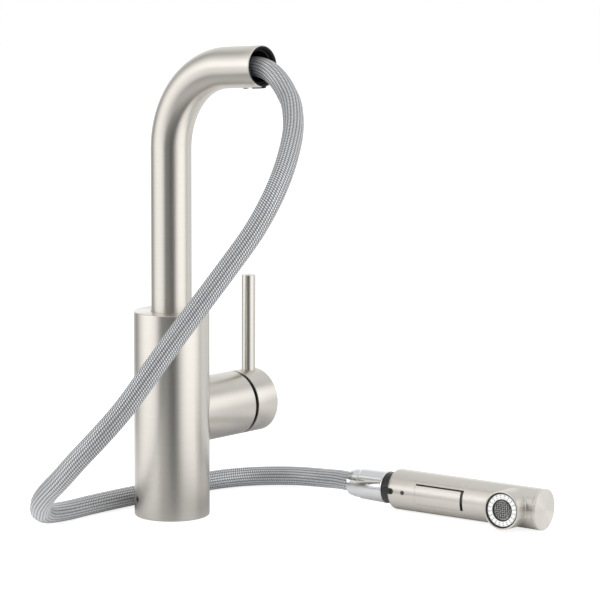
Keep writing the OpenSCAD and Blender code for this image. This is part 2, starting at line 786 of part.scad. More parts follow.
module spray_collar() {
    color("#1b1b1c") on_spray() difference() {
        union() {
            spray_axis(-collar_l) cylinder(d = collar_d, h = collar_l + 5);
            intersection() {
                spray_axis(-0.02) cylinder(d = spray_d - 1.6, h = key_l + 1);
                translate([0, -spray_d, -key_w / 2 + seat_gap])
                    cube([key_l - key_w / 2, spray_d, key_w - 2 * seat_gap]);
            }
            intersection() {
                spray_side(key_l - key_w / 2) cylinder(d = key_w - 2 * seat_gap, h = spray_d);
                spray_axis(0) cylinder(d = spray_d - 1.6, h = key_l + 1);
            }
        }
        spray_axis(-collar_l - 1) cylinder(d = collar_bore, h = collar_l + 8);
    }
}

module spray_screw() {
    color("#77797c") on_spray() difference() {
        union() {
            spray_side(spray_screw_x, rib_d / 2 - 4.4) cylinder(d = spray_screw_d - 1.1, h = 4.8);
            spray_side(spray_screw_x, rib_d / 2 + slide_gap)
                cylinder(d = spray_screw_d, h = spray_wall - seat_gap);
        }
        spray_side(spray_screw_x, rib_d / 2 + 0.9) cylinder(d = 1.4, h = 2, $fn = 6);
    }
}

module spray_end_cap() {
    color("#cfccc6") on_spray() {
        spray_axis(cap_x0 - plug_l) cylinder(d = spray_bore - 2 * seat_gap, h = plug_l + slide_gap);
        spray_axis(cap_x0 + slide_gap) cylinder(d = spray_d, h = cap_rim - slide_gap - 0.4);
        spray_axis(spray_l - 0.4) cylinder(d1 = spray_d, d2 = spray_d - 0.8, h = 0.4);
    }
}

// Plastic waterway in the shell: inlet stub, ribs that centre it, button bracket and branch to the nozzle
module spray_waterway() {
    branch_top = insert_back - seat_gap;
    color("#dcdcd6") on_spray() difference() {
        union() {
            spray_axis(stub_x) cylinder(d = stub_d, h = 8 - stub_x);
            spray_axis(5.2) cylinder(d = water_d, h = nozzle_x - 5.2 + branch_d / 2 - 4);
            spray_axis(spray_screw_x - 2.5) cylinder(d = rib_d, h = 5);
            spray_axis(button_x + button_l + 8) cylinder(d = rib_d, h = 3);
            spray_side(nozzle_x) cylinder(d = branch_d, h = branch_top);
            translate([button_pin_x - 2.2, -button_pin_y - 1.4, -bracket_w / 2])
                cube([4.4, button_pin_y, bracket_w]);
        }
        spray_axis(stub_x - 1) cylinder(d = water_bore, h = nozzle_x - stub_x + 1);
        spray_axis(stub_x - 1) cylinder(d = water_bore + 1.4, h = 13);
        spray_side(nozzle_x) cylinder(d = branch_d - 5, h = spray_d);
        spray_side(spray_screw_x, rib_d / 2 - 5) cylinder(d = spray_screw_d - 1, h = 8);
        spray_side(plunger_x) cylinder(d = plunger_d + 2 * slide_gap, h = water_d);
        translate([button_pin_x, -button_pin_y, 0])
            cylinder(d = button_pin_d + press_gap, h = 4 * bracket_w, center = true);
    }
}

module check_valve() {
    color("#3f6d3f") on_spray() spray_axis(stub_x + 0.5) ring(water_bore + 1.2, 4, 10);
}

module nozzle_collar() {
    color("#c9c6c0") on_spray() difference() {
        spray_side(nozzle_x) cylinder(d = nozzle_d, h = nozzle_reach);
        spray_side(nozzle_x) cylinder(d = nozzle_bore, h = nozzle_reach + 1);
        spray_axis(0) cylinder(d = spray_d + 2 * seat_gap, h = spray_l + nozzle_d);
    }
}

module nozzle_insert() {
    color("#141415") on_spray() difference() {
        spray_side(nozzle_x, insert_back) cylinder(d = insert_d, h = insert_front - insert_back);
        spray_side(nozzle_x, insert_front - face_t - 0.8) cylinder(d = face_d + 2 * seat_gap, h = 9);
        spray_side(nozzle_x, insert_back - 1) cylinder(d = aerator_d + 2 * seat_gap, h = 12);
        spray_axis(0) cylinder(d = spray_d + 2 * loose_gap, h = spray_l + nozzle_d);
    }
}

module spray_face() {
    color("#e9e9e6") on_spray() {
        difference() {
            spray_side(nozzle_x, insert_front - face_t - 0.8 + slide_gap) cylinder(d = face_d, h = face_t);
            spray_side(nozzle_x, insert_front - face_t - 1) cylinder(d = face_in, h = 9);
        }
        for (i = [0:jets - 1])
            spray_side(nozzle_x, insert_front - 1) rotate([0, 0, i * 360 / jets])
                translate([jet_ring_d / 2, 0, 0]) cylinder(d = 1.5, h = 0.9);
    }
}

module aerator_ring() {
    color("#232325") on_spray() difference() {
        spray_side(nozzle_x, insert_back + 0.2) cylinder(d = aerator_d, h = insert_front - insert_back - 0.9);
        spray_side(nozzle_x, insert_back) cylinder(d = mesh_d - 1.6, h = 12);
        spray_side(nozzle_x, insert_front - 2.2) cylinder(d = mesh_d + 2 * slide_gap, h = 4);
    }
}

module aerator_mesh() {
    hole = 1.5;
    pitch = 2.3;
    color("#6f7271") on_spray() difference() {
        spray_side(nozzle_x, insert_front - 2.2 + slide_gap) cylinder(d = mesh_d, h = mesh_t);
        for (i = [-2:2])
            for (j = [-2:2])
                if (abs(i + j) <= 2)
                    spray_side(nozzle_x, insert_front - 4)
                        translate([pitch * (i + j / 2), pitch * j * sin(60), 0]) cylinder(d = hole, h = 6);
    }
}

// Button flush with the shell, hinged at its rear end
module spray_button() {
    color("#c9c6c0") on_spray() difference() {
        union() {
            intersection() {
                difference() {
                    spray_axis(button_x) cylinder(d = spray_d, h = button_l);
                    spray_axis(button_x - 1) cylinder(d = spray_bore, h = button_l + 2);
                }
                translate([button_x, -spray_d, -button_down])
                    cube([button_l, spray_d, button_down + button_up]);
            }
            for (z = [-bracket_w / 2 - 0.3 - lug_t, bracket_w / 2 + 0.3])
                intersection() {
                    translate([button_pin_x - 1.8, -spray_d / 2, z])
                        cube([3.6, spray_d / 2 - button_pin_y + 1.8, lug_t]);
                    spray_axis(button_x) cylinder(d = spray_d - 0.6, h = button_l);
                }
        }
        translate([button_pin_x, -button_pin_y, 0])
            cylinder(d = button_pin_d + 2 * slide_gap, h = 4 * bracket_w, center = true);
    }
}

module button_pin() {
    color("#9a9da1") on_spray() translate([button_pin_x, -button_pin_y, 0])
        cylinder(d = button_pin_d, h = button_pin_l, center = true);
}

module diverter_plunger() {
    inner_end = 1;
    color("#d8d8d2") on_spray() spray_side(plunger_x, inner_end)
        cylinder(d = plunger_d, h = spray_bore / 2 - 0.3 - inner_end);
}

// Small spring round the plunger, between the waterway and the button
module button_spring() {
    turns = 4;
    steps = 10;
    low = water_d / 2 + spring_wire / 2 + 0.1;
    high = spray_bore / 2 - spring_wire / 2 - 0.5;
    n = turns * steps;
    route = [for (i = [0:n])
        let (a = 360 * i / steps)
        [spring_r * cos(a), spring_r * sin(a), low + (high - low) * i / n]];
    color("#9a9da1") on_spray() spray_side(plunger_x)
        swept(route, spring_wire, along(route, 0), along(route, n));
}

body_shell();
base_plate();
base_gasket();
base_screw();
hose_guide();
hot_tube();
cold_tube();
mixed_tube();
valve_manifold();
valve_housing();
cartridge_seal();
cartridge_case();
cartridge_foot();
fixed_disc();
cartridge_nut();
dome_ring();
spout_carrier();
upper_bush();
lower_bush();
spout_o_ring();
hose_tail();
hose_in_body();
hose_upper();
hose_lower();
spout_tube();
spout_clip();
dock_sleeve();
dock_screw();
hose_in_spout();
stem_turner();
stem_pin();
moving_disc();
lever_stem();
lever_cap();
lever_rod();
lever_grub_screw();
hose_nut();
hose_ferrule();
hose_washer();
spray_shell();
spray_collar();
spray_screw();
spray_end_cap();
spray_waterway();
check_valve();
nozzle_collar();
nozzle_insert();
spray_face();
aerator_ring();
aerator_mesh();
spray_button();
button_pin();
button_spring();
diverter_plunger();
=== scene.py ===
import json
from math import asin, atan2, cos, hypot, pi, radians, sin, sqrt, tan

import bmesh
import bpy
from mathutils import Matrix, Vector
from mathutils.bvhtree import BVHTree
from mathutils.interpolate import poly_3d_calc


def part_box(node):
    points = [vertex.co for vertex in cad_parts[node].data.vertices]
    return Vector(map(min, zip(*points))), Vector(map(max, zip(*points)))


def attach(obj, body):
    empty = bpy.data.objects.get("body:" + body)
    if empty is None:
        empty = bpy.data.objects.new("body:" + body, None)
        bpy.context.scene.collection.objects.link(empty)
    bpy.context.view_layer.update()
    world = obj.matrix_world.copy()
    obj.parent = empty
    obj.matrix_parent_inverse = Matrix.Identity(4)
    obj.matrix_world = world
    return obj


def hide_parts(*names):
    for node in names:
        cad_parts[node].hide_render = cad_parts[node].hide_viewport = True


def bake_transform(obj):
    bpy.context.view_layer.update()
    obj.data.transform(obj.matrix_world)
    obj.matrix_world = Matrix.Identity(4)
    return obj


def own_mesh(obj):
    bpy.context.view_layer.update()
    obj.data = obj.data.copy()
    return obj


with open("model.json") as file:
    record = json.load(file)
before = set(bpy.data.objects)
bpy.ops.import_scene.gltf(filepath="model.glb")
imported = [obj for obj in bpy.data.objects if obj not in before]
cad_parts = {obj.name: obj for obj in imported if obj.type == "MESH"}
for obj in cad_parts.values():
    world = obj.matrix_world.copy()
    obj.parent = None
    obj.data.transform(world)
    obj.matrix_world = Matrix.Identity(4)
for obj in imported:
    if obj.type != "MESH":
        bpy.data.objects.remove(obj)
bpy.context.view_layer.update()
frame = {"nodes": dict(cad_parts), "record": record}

# Lengths are in mm, as in the CAD model, and become metres when a mesh is made.
MM = 0.001

# A turned piece's foot stands this far off the round side that it sits on
SEAT_GAP = 0.1

# Body
BODY_R = 26.5
BODY_H = 145.0
BODY_BORE_R = 24.5
BODY_TOP_T = 6.0
BODY_TOP_HOLE_R = 14.6
BODY_CHAMFER = 0.7
LOCK_SCREW_Z = 12.5
LOCK_SCREW_ANGLE = radians(158)
LOCK_SCREW_HOLE_R = 2.3
NECK_GAP = 0.2

# Valve housing and lever, measured along the valve's axis from the body's axis
VALVE_Z = 71.0
HOUSING_R = 22.75
HOUSING_END = 62.3
HOUSING_BORE_R = 19.1
HOUSING_BORE_FROM = 52.0
CARTRIDGE_R = 17.7
NECK_R = 19.3
PIVOT = 43.0
CAP_START = 65.2
CAP_END = 85.2
CAP_DISH_R = 30.64
GRUB_HOLE_R = 2.5
ROD_X = 78.0
ROD_R = 5.0
ROD_START = 79.2
ROD_END = 162.3

# Spout
SPOUT_R = 14.2
SPOUT_BORE_R = 12.7
SPOUT_FOOT = 100.0
SPOUT_RISE = 258.5
BEND_R = 59.0
BEND_STEPS = 40
TILT = radians(4.2)
OUTLET_RUN = 32.4
KEY_W = 4.1
KEY_L = 8.5
SLOT_GAP = 0.1
SLEEVE_L = 26.0
SLEEVE_R = 12.6
SLEEVE_BORE_R = 10.6
SLEEVE_LIP_R = 11.5
SLEEVE_SCREW_X = 16.5
SLEEVE_SCREW_R = 1.85
SLEEVE_SCREW_TOP = 14.65
SLEEVE_SOCKET_R = 0.9
SLEEVE_SOCKET_FLOOR = 13.4
SLEEVE_SCREW_HOLE_R = 2.05
SLEEVE_FLANGE_R = 13.45
SLEEVE_FLANGE_T = 0.5
SLEEVE_MOUTH_R = 12.9

# Hose and the nut on its end, measured along the spray's axis
HOSE_R = 6.9
HOSE_DIP_L = 14.0
HOSE_DIP = 1.1
HOSE_RIBS = 20
RIB_DEPTH = 0.25
STITCH = 1.6
NUT_REAR = -38.8
NUT_FRONT = -8.1
NUT_STEP = -22.5
NUT_R = 11.6
NUT_BORE_R = 6.25
NUT_HOSE_R = 8.05

# Spray, measured along its axis from the shell's rear end
SPRAY_PLACE = (122.0, -106.0, 14.4)
SPRAY_TURN = radians(-81)
SPRAY_ROLL = radians(-3.5)
SPRAY_R = 14.4
SPRAY_BORE_R = 12.8
SPRAY_HOLE_R = 11.3
SPRAY_ROUND = 3.0
SPRAY_REAR = -1.9
COLLAR_R = 11.2
COLLAR_BORE_R = 7.2
COLLAR_REAR = -8.0
COLLAR_FRONT = 5.0
COLLAR_KEY_END = 3.9
COLLAR_KEY_LOW = 10.9
COLLAR_KEY_TOP = 13.6
SPRAY_L = 118.0
CAP_RIM = 3.0
CAP_SEAM = 0.05
CAP_PLUG_REAR = 108.0
BUTTON_X = (21.55, 58.3)
BUTTON_Z = (-6.85, 6.45)
BUTTON_HOLE_X = (21.5, 60.5)
BUTTON_HOLE_Z = (-6.9, 7.5)
BUTTON_EDGE = 0.1
SPRAY_SCREW_X = 11.5
SPRAY_SCREW_HOLE_R = 1.6
PLUNGER_X = 46.0
SPRING_R = 3.1
SPRING_WIRE_R = 0.3
SPRING_LOW = 6.9
SPRING_HIGH = 12.0
SPRING_TURNS = 4
NOZZLE_X = 97.7
NOZZLE_R = 13.4
NOZZLE_WALL = 1
NOZZLE_HOLE_R = 10.2
NOZZLE_REACH = 25.3
INSERT_R = 12.3
INSERT_REACH = 24.6
FACE_R = 11.3
FACE_BORE_R = 7.7
FACE_REACH = 24.2
JETS = 20
JET_RINGS = ((10.35, 0.5), (8.75, 0.44))
AERATOR_BORE_R = 6.75
MESH_R = 6.65
MESH_REACH = 23.0
MESH_WIRE_R = 0.2
MESH_PITCH = 1.45
MESH_WAVE = 0.16


# Places

def spout_end():
    """The middle of the outlet's rim."""
    y = -BEND_R * (1 - sin(TILT)) - OUTLET_RUN * cos(TILT)
    z = SPOUT_RISE + BEND_R * cos(TILT) + OUTLET_RUN * sin(TILT)
    return Vector((0.0, y, z))


MOUTH = spout_end()
OUTWARD = Vector((0.0, -cos(TILT), sin(TILT)))
UPRIGHT = Matrix.Identity(4)
VALVE = Matrix.Translation((0, 0, VALVE_Z)) @ Matrix.Rotation(pi / 2, 4, "Y")
ROD = Matrix.Translation((ROD_X, 0, 0))
OUTLET = Matrix.Translation(MOUTH) @ Matrix.Rotation(pi / 2 - TILT, 4, "X")
SPRAY = (Matrix.Translation(SPRAY_PLACE) @ Matrix.Rotation(SPRAY_TURN, 4, "Z")
         @ Matrix.Rotation(SPRAY_ROLL, 4, "X"))
SPRAY_AXIS = SPRAY @ Matrix.Rotation(pi / 2, 4, "Y")
SPRAY_FORWARD = SPRAY.to_3x3() @ Vector((1, 0, 0))


def spray_side(x):
    """A frame on the spray's axis whose Z axis points out through the nozzle's side."""
    return SPRAY @ Matrix.Translation((x, 0, 0)) @ Matrix.Rotation(pi / 2, 4, "X")


NOZZLE = spray_side(NOZZLE_X)


# Camera

# Its place in metres, its directions and its lens were fitted to the photograph.
CAMERA_PLACE = (-1.36561, -1.37223, 0.45151)
CAMERA_RIGHT = Vector((0.67581251, -0.73706354, 0.00384555))
CAMERA_UP = Vector((0.10995594, 0.10597464, 0.98827075))
CAMERA_FORWARD = Vector((0.72882586, 0.6674629, -0.1526635))
CAMERA_LENS = 168.21


def make_camera():
    """The photograph's camera."""
    turn = Matrix((CAMERA_RIGHT, CAMERA_UP, -CAMERA_FORWARD)).transposed().to_4x4()
    data = bpy.data.cameras.new("camera")
    data.sensor_width = 36.0
    data.lens = CAMERA_LENS
    data.clip_end = 50.0
    camera = bpy.data.objects.new("camera", data)
    camera.matrix_world = Matrix.Translation(CAMERA_PLACE) @ turn
    bpy.context.scene.collection.objects.link(camera)
    bpy.context.scene.camera = camera


# Node trees

class Tree:
    """A node tree that is filled in with short calls."""

    def __init__(self, owner):
        owner.use_nodes = True
        self.nodes = owner.node_tree.nodes
        self.links = owner.node_tree.links
        self.nodes.clear()

    def add(self, kind, inputs=None, **fields):
        node = self.nodes.new(kind)
        for key, value in fields.items():
            setattr(node, key, value)
        for key, value in (inputs or {}).items():
            if isinstance(value, bpy.types.NodeSocket):
                self.links.new(value, node.inputs[key])
            else:
                node.inputs[key].default_value = value
        return node

    def math(self, operation, a, b=0.0):
        return self.add("ShaderNodeMath", {0: a, 1: b}, operation=operation).outputs[0]

    def mix(self, share, a, b):
        return self.add("ShaderNodeMix", {0: share, 2: a, 3: b}).outputs[0]

    def attribute(self, name):
        return self.add("ShaderNodeAttribute", attribute_name=name).outputs["Vector"]

    def noise(self, place, scale, detail=3.0):
        return self.add("ShaderNodeTexNoise", {"Vector": place, "Scale": scale, "Detail": detail}).outputs[0]

    def stretch(self, place, scale):
        return self.add("ShaderNodeMapping", {"Vector": place, "Scale": scale}).outputs[0]

    def ramp(self, share, stops):
        node = self.add("ShaderNodeValToRGB", {"Fac": share})
        elements = node.color_ramp.elements
        while len(elements) < len(stops):
            elements.new(0.5)
        for element, (place, value) in zip(elements, stops):
            element.position = place
            element.color = value if isinstance(value, tuple) else (value, value, value, 1.0)
        return node.outputs["Color"]

    def remap(self, value, low, high, to_low, to_high):
        inputs = {"Value": value, "From Min": low, "From Max": high, "To Min": to_low, "To Max": to_high}
        return self.add("ShaderNodeMapRange", inputs).outputs["Result"]

    def split(self, vector):
        return self.add("ShaderNodeSeparateXYZ", {0: vector}).outputs

    def bump(self, height, strength, distance):
        inputs = {"Height": height, "Strength": strength, "Distance": distance * MM}
        return self.add("ShaderNodeBump", inputs).outputs[0]

    def surface(self, inputs):
        shader = self.add("ShaderNodeBsdfPrincipled", inputs)
        self.add("ShaderNodeOutputMaterial", {"Surface": shader.outputs[0]})


def shaded(colour, gain):
    """The colour made lighter or darker, with full opacity."""
    return tuple(min(1.0, c * gain) for c in colour) + (1.0,)


# Materials. Their grain follows the attribute "local", in mm: X and Y lie round the piece and Z along it.

STEEL = (0.665, 0.638, 0.59)


def brushed(name, colour, roughness=0.3, anisotropy=0.8, grooves=6.0, tint=0.03):
    """Metal ground round its axis: fine grooves, and highlights drawn out across them."""
    material = bpy.data.materials.new(name)
    tree = Tree(material)
    place = tree.attribute("local")
    fine = tree.noise(tree.stretch(place, (0.12, 0.12, grooves)), 1.0, 5.0)
    broad = tree.noise(tree.stretch(place, (0.02, 0.02, 0.5)), 1.0)
    both = tree.mix(0.35, fine, broad)
    around = tree.add("ShaderNodeVectorTransform", {0: tree.attribute("around")}, vector_type="VECTOR",
                      convert_from="OBJECT", convert_to="WORLD").outputs[0]
    tree.surface({
        "Base Color": tree.ramp(both, [(0.3, shaded(colour, 1 - tint)), (0.7, shaded(colour, 1 + tint))]),
        "Roughness": tree.remap(both, 0.3, 0.7, roughness - 0.015, roughness + 0.015),
        "Metallic": 1.0, "Anisotropic": anisotropy, "Anisotropic Rotation": 0.25, "Tangent": around,
        "Normal": tree.bump(fine, 0.12, 0.003)})
    return material


def plain(name, colour, metallic, roughness, tint=0.06, spots=2.5, depth=0.01, gloss=0.5, on_piece=True):
    """Moulded, plated or cast: faint mottling, uneven gloss and a fine surface."""
    material = bpy.data.materials.new(name)
    tree = Tree(material)
    if on_piece:
        place = tree.attribute("local")
    else:
        row_place = tree.add("ShaderNodeTexCoord").outputs["Object"]
        place = tree.stretch(row_place, (1 / MM, 1 / MM, 1 / MM))
    fine = tree.noise(place, spots, 4.0)
    both = tree.mix(0.5, fine, tree.noise(place, 0.08))
    tree.surface({
        "Base Color": tree.ramp(both, [(0.3, shaded(colour, 1 - tint)), (0.7, shaded(colour, 1 + tint))]),
        "Roughness": tree.remap(both, 0.3, 0.7, max(0.02, roughness - 0.06), min(1.0, roughness + 0.06)),
        "Metallic": metallic, "Specular IOR Level": gloss, "Normal": tree.bump(fine, 0.2, depth)})
    return material


def braided():
    """Knitted wire in columns of slanted stitches: the stitch pattern, with painted shade near black between
    the threads and at each column's edges, and painted highlights on the threads' middles.
    """
    material = bpy.data.materials.new("hose_braid")
    tree = Tree(material)
    u, v, _ = tree.split(tree.add("ShaderNodeUVMap", uv_map="braid").outputs[0])
    columns = tree.math("MULTIPLY", u, float(HOSE_RIBS))
    from_middle = tree.remap(tree.math("PINGPONG", columns, 0.5), 0.0, 0.5, 1.0, 0.0)
    slant = tree.math("ADD", tree.math("DIVIDE", v, STITCH), tree.math("MULTIPLY", columns, 0.5))
    thread = tree.math("SINE", tree.math("MULTIPLY", tree.math("FRACT", slant), pi))
    # Each column is lighter in its middle and darker at its edges: painted shading of its round.
    column_round_shade = tree.math("SUBTRACT", 1.0, tree.math("POWER", from_middle, 2.0))
    stitch = tree.math("MULTIPLY", tree.math("POWER", thread, 1.5), column_round_shade)
    place = tree.attribute("local")
    fuzz = tree.math("MULTIPLY", tree.noise(place, 1.1), 0.35)
    level = tree.math("ADD", tree.math("MULTIPLY", stitch, 0.75), fuzz)
    # The ramp paints shade near black in the gaps between threads and highlights on the threads' middles,
    # round the braid's own grey.
    tree.surface({
        "Base Color": tree.ramp(level, [(0.1, (0.07, 0.074, 0.08, 1)), (0.38, (0.29, 0.3, 0.315, 1)),
                                        (0.6, (0.55, 0.56, 0.575, 1)), (0.9, (0.8, 0.81, 0.82, 1))]),
        "Roughness": tree.remap(level, 0.0, 1.0, 0.5, 0.36), "Metallic": 0.6,
        "Normal": tree.bump(level, 0.35, 0.15)})
    return material


def make_materials():
    """The finishes of the visible pieces."""
    return {
        "turned": brushed("steel_turned", STEEL),
        "spout": brushed("steel_spout", STEEL, 0.292, 0.87),
        "grip": brushed("steel_grip", STEEL, 0.292, 0.85),
        # Steel for the end cap, lighter than STEEL: the lighter colour is a painted highlight for the cap's
        # bright reflection, and the radial grain is the cap's facing.
        "brightened_steel": brushed("steel_painted_brighter", (0.77, 0.74, 0.69), 0.4, 0.9),
        "chrome": plain("chrome_plate", (0.74, 0.75, 0.76), 1.0, 0.09, 0.015, 0.6, 0.001),
        "black": plain("black_moulded", (0.012, 0.012, 0.013), 0.0, 0.3, 0.25),
        "liner": plain("black_liner", (0.006, 0.006, 0.007), 0.0, 0.6, 0.25, gloss=0.25),
        "white": plain("white_moulded", (0.8, 0.8, 0.79), 0.0, 0.35, 0.02),
        "dark": plain("steel_blackened", (0.1, 0.1, 0.105), 1.0, 0.35),
        "nibs": plain("grey_moulded", (0.4, 0.4, 0.39), 0.0, 0.45, 0.05),
        "wire": plain("steel_wire", (0.6, 0.6, 0.58), 1.0, 0.3, 0.15),
        "braid": braided(),
    }


# Colour, metallic and roughness of each slot on the CAD nodes that stay
SLOT_LOOKS = {
    "brushed_steel": (STEEL, 1.0, 0.27), "steel_bright": ((0.6, 0.6, 0.6), 1.0, 0.25),
    "steel_dark": ((0.12, 0.12, 0.13), 1.0, 0.35), "chrome": ((0.74, 0.75, 0.76), 1.0, 0.09),
    "brass": ((0.62, 0.45, 0.2), 1.0, 0.3), "copper": ((0.7, 0.36, 0.22), 1.0, 0.3),
    "black_plastic": ((0.01, 0.01, 0.011), 0.0, 0.5), "grey_plastic": ((0.3, 0.31, 0.32), 0.0, 0.5),
    "white_plastic": ((0.78, 0.78, 0.76), 0.0, 0.4), "clear_white": ((0.68, 0.68, 0.65), 0.0, 0.45),
    "ceramic": ((0.82, 0.82, 0.79), 0.0, 0.15), "green_plastic": ((0.1, 0.28, 0.12), 0.0, 0.45),
    "rubber": ((0.02, 0.02, 0.022), 0.0, 0.7), "hose_braid": ((0.3, 0.32, 0.34), 0.0, 0.6),
}


def dress_cad_nodes():
    """Gives every CAD node the finish of its slot."""
    looks = {}
    for slot, (colour, metallic, roughness) in SLOT_LOOKS.items():
        gloss = 0.15 if slot == "black_plastic" else 0.5
        looks[slot] = plain("cad_" + slot, colour, metallic, roughness, gloss=gloss, on_piece=False)
    for part in frame["record"]["subparts"]:
        mesh = frame["nodes"][part["node"]].data
        mesh.materials.clear()
        mesh.materials.append(looks[part["material_slot"]])


# Shapes are pairs: points in mm and faces

def rounded(corners, steps=4):
    """A closed outline with some corners rounded. Each corner is (radius, height, fillet)."""
    out = []
    for i, (x, y, fillet) in enumerate(corners):
        if not fillet:
            out.append((x, y))
            continue
        corner = Vector((x, y))
        to_last = (Vector(corners[i - 1][:2]) - corner).normalized()
        to_next = (Vector(corners[(i + 1) % len(corners)][:2]) - corner).normalized()
        half = to_last.angle(to_next) / 2
        centre = corner + (to_last + to_next).normalized() * (fillet / sin(half))
        start = corner + to_last * (fillet / tan(half)) - centre
        end = corner + to_next * (fillet / tan(half)) - centre
        for k in range(steps + 1):
            out.append(tuple(centre + start.lerp(end, k / steps).normalized() * fillet))
    return out


def lathe(outline, segments=128):
    """A closed outline turned about Z."""
    turns = [(cos(2 * pi * k / segments), sin(2 * pi * k / segments)) for k in range(segments)]
    points, faces, rings = [], [], []
    for r, z in outline:
        first = len(points)
        if r < 1e-4:
            rings.append([first])
            points.append((0.0, 0.0, z))
        else:
            rings.append(list(range(first, first + segments)))
            points += [(r * x, r * y, z) for x, y in turns]
    for a, b in zip(rings, rings[1:] + rings[:1]):
        if len(a) == len(b) == 1:
            continue
        for k in range(segments):
            j = (k + 1) % segments
            if len(a) == 1:
                faces.append((a[0], b[j], b[k]))
            elif len(b) == 1:
                faces.append((a[k], a[j], b[0]))
            else:
                faces.append((a[k], a[j], b[j], b[k]))
    return points, faces


def disc(radius, low, high, segments=48):
    """A plain round cutter."""
    return lathe([(0, low), (radius, low), (radius, high), (0, high)], segments)


def block(x, y, z):
    """A box between the two values given for each direction. It is used for slots and keys."""
    points = [(a, b, c) for a in x for b in y for c in z]
    return points, [(0, 1, 3, 2), (4, 6, 7, 5), (0, 4, 5, 1), (2, 3, 7, 6), (0, 2, 6, 4), (1, 5, 7, 3)]


def moved(shape, matrix):
    """The shape with the matrix applied to its points."""
    return [tuple(matrix @ Vector(p)) for p in shape[0]], shape[1]


def joined(*shapes):
    """Several shapes as one."""
    points, faces = [], []
    for more_points, more_faces in shapes:
        first = len(points)
        points += more_points
        faces += [tuple(i + first for i in face) for face in more_faces]
    return points, faces


def saddled(shape, radius, low=1.0):
    """Lifts the points below low onto a cylinder of that radius, which lies along the shape's X axis."""
    points = []
    for x, y, z in shape[0]:
        if z < low:
            z += sqrt(radius ** 2 - y ** 2)
        points.append((x, y, z))
    return points, shape[1]


def swept(rings, segments=128):
    """A closed skin through rings. Each ring is (centre, direction, radius), and the last meets the first."""
    points, faces = [], []
    across = Vector((1, 0, 0))
    for centre, ahead, r in rings:
        other = ahead.cross(across)
        for k in range(segments):
            a = 2 * pi * k / segments
            points.append(tuple(centre + across * (r * cos(a)) + other * (r * sin(a))))
    for i in range(len(rings)):
        a = i * segments
        b = (i + 1) % len(rings) * segments
        for k in range(segments):
            j = (k + 1) % segments
            faces.append((a + k, a + j, b + j, b + k))
    return points, faces


def skinned(rings):
    """A closed skin over rings of points, from the first ring to the last."""
    around = len(rings[0])
    points = [p for ring in rings for p in ring]
    faces = []
    for a in range(0, len(points) - around, around):
        for k in range(around):
            j = (k + 1) % around
            faces.append((a + k, a + j, a + around + j, a + around + k))
    faces.append(tuple(range(around - 1, -1, -1)))
    faces.append(tuple(range(len(points) - around, len(points))))
    return points, faces


# Objects

def build(name, shape, place=UPRIGHT, sharp=32):
    """An object of a shape given in the frame place."""
    mesh = bpy.data.meshes.new(name)
    mesh.from_pydata([(place @ Vector(p)) * MM for p in shape[0]], [], shape[1])
    work = bmesh.new()
    work.from_mesh(mesh)
    bmesh.ops.recalc_face_normals(work, faces=work.faces)
    work.to_mesh(mesh)
    work.free()
    mesh.shade_smooth()
    mesh.set_sharp_from_angle(angle=radians(sharp))
    obj = bpy.data.objects.new(name, mesh)
    bpy.context.scene.collection.objects.link(obj)
    return obj


def cut(obj, *cutters):
    """Cuts the cutters out of obj. The smooth shading round the cuts stays as it was."""
    old = obj.data
    tree = BVHTree.FromPolygons([v.co for v in old.vertices], [p.vertices for p in old.polygons])
    corners = [[old.vertices[i].co.copy() for i in p.vertices] for p in old.polygons]
    shades = [[old.corner_normals[i].vector.copy() for i in p.loop_indices] for p in old.polygons]
    for cutter in cutters:
        modifier = obj.modifiers.new("cut", "BOOLEAN")
        modifier.operation = "DIFFERENCE"
        modifier.solver = "EXACT"
        modifier.object = cutter
    graph = bpy.context.evaluated_depsgraph_get()
    new = bpy.data.meshes.new_from_object(obj.evaluated_get(graph), depsgraph=graph)
    obj.modifiers.clear()
    for cutter in cutters:
        bpy.data.objects.remove(cutter)
    obj.data = new
    new.shade_smooth()
    normals = []
    for face in new.polygons:
        for loop in face.loop_indices:
            point = new.vertices[new.loops[loop].vertex_index].co
            hit, across, index, gap = tree.find_nearest(point.lerp(face.center, 0.04))
            if gap < 4e-6 and across.dot(face.normal) > 0.8:
                weights = poly_3d_calc(corners[index], hit)
                shade = sum((n * w for n, w in zip(shades[index], weights)), Vector())
                normals.append(shade.normalized())
            else:
                normals.append(face.normal.copy())
    new.normals_split_custom_set(normals)
    return obj


def lathe_grain(p):
    """Grain coordinates of a turned piece at p, and the direction in which it was ground there."""
    return Vector((p.x, p.y, p.z + hypot(p.x, p.y))), Vector((-p.y, p.x, 0.0))


def spout_grain(p):
    """The same for the bent tube."""
    if p.z < SPOUT_RISE:
        return p, Vector((-p.y, p.x, 0.0))
    lean = min(atan2(p.z - SPOUT_RISE, p.y + BEND_R), pi / 2 - TILT)
    ahead = Vector((0, -sin(lean), cos(lean)))
    centre = Vector((0, BEND_R * (cos(lean) - 1), SPOUT_RISE + BEND_R * sin(lean)))
    further = max(0.0, (p - centre).dot(ahead))
    out = p - centre - ahead * further
    run = SPOUT_RISE + BEND_R * lean + further
    return Vector((out.x, out.dot(ahead.cross(Vector((1, 0, 0)))), run)), ahead.cross(out)


def spout_line():
    """Places and directions along the spout's middle, from the body's top to near the outlet."""
    up = Vector((0, 0, 1))
    line = [(Vector((0, 0, z)), up) for z in (BODY_H, 200.0, SPOUT_RISE)]
    for k in range(1, BEND_STEPS + 1):
        a = (pi / 2 - TILT) * k / BEND_STEPS
        centre = Vector((0, BEND_R * (cos(a) - 1), SPOUT_RISE + BEND_R * sin(a)))
        line.append((centre, Vector((0, -sin(a), cos(a)))))
    return line + [(MOUTH - OUTWARD * s, OUTWARD) for s in (22.0, 11.0)]


def cord_grain(p):
    """Grain coordinates for the hose, whose braid has its own."""
    return p, Vector((0, 0, 1))


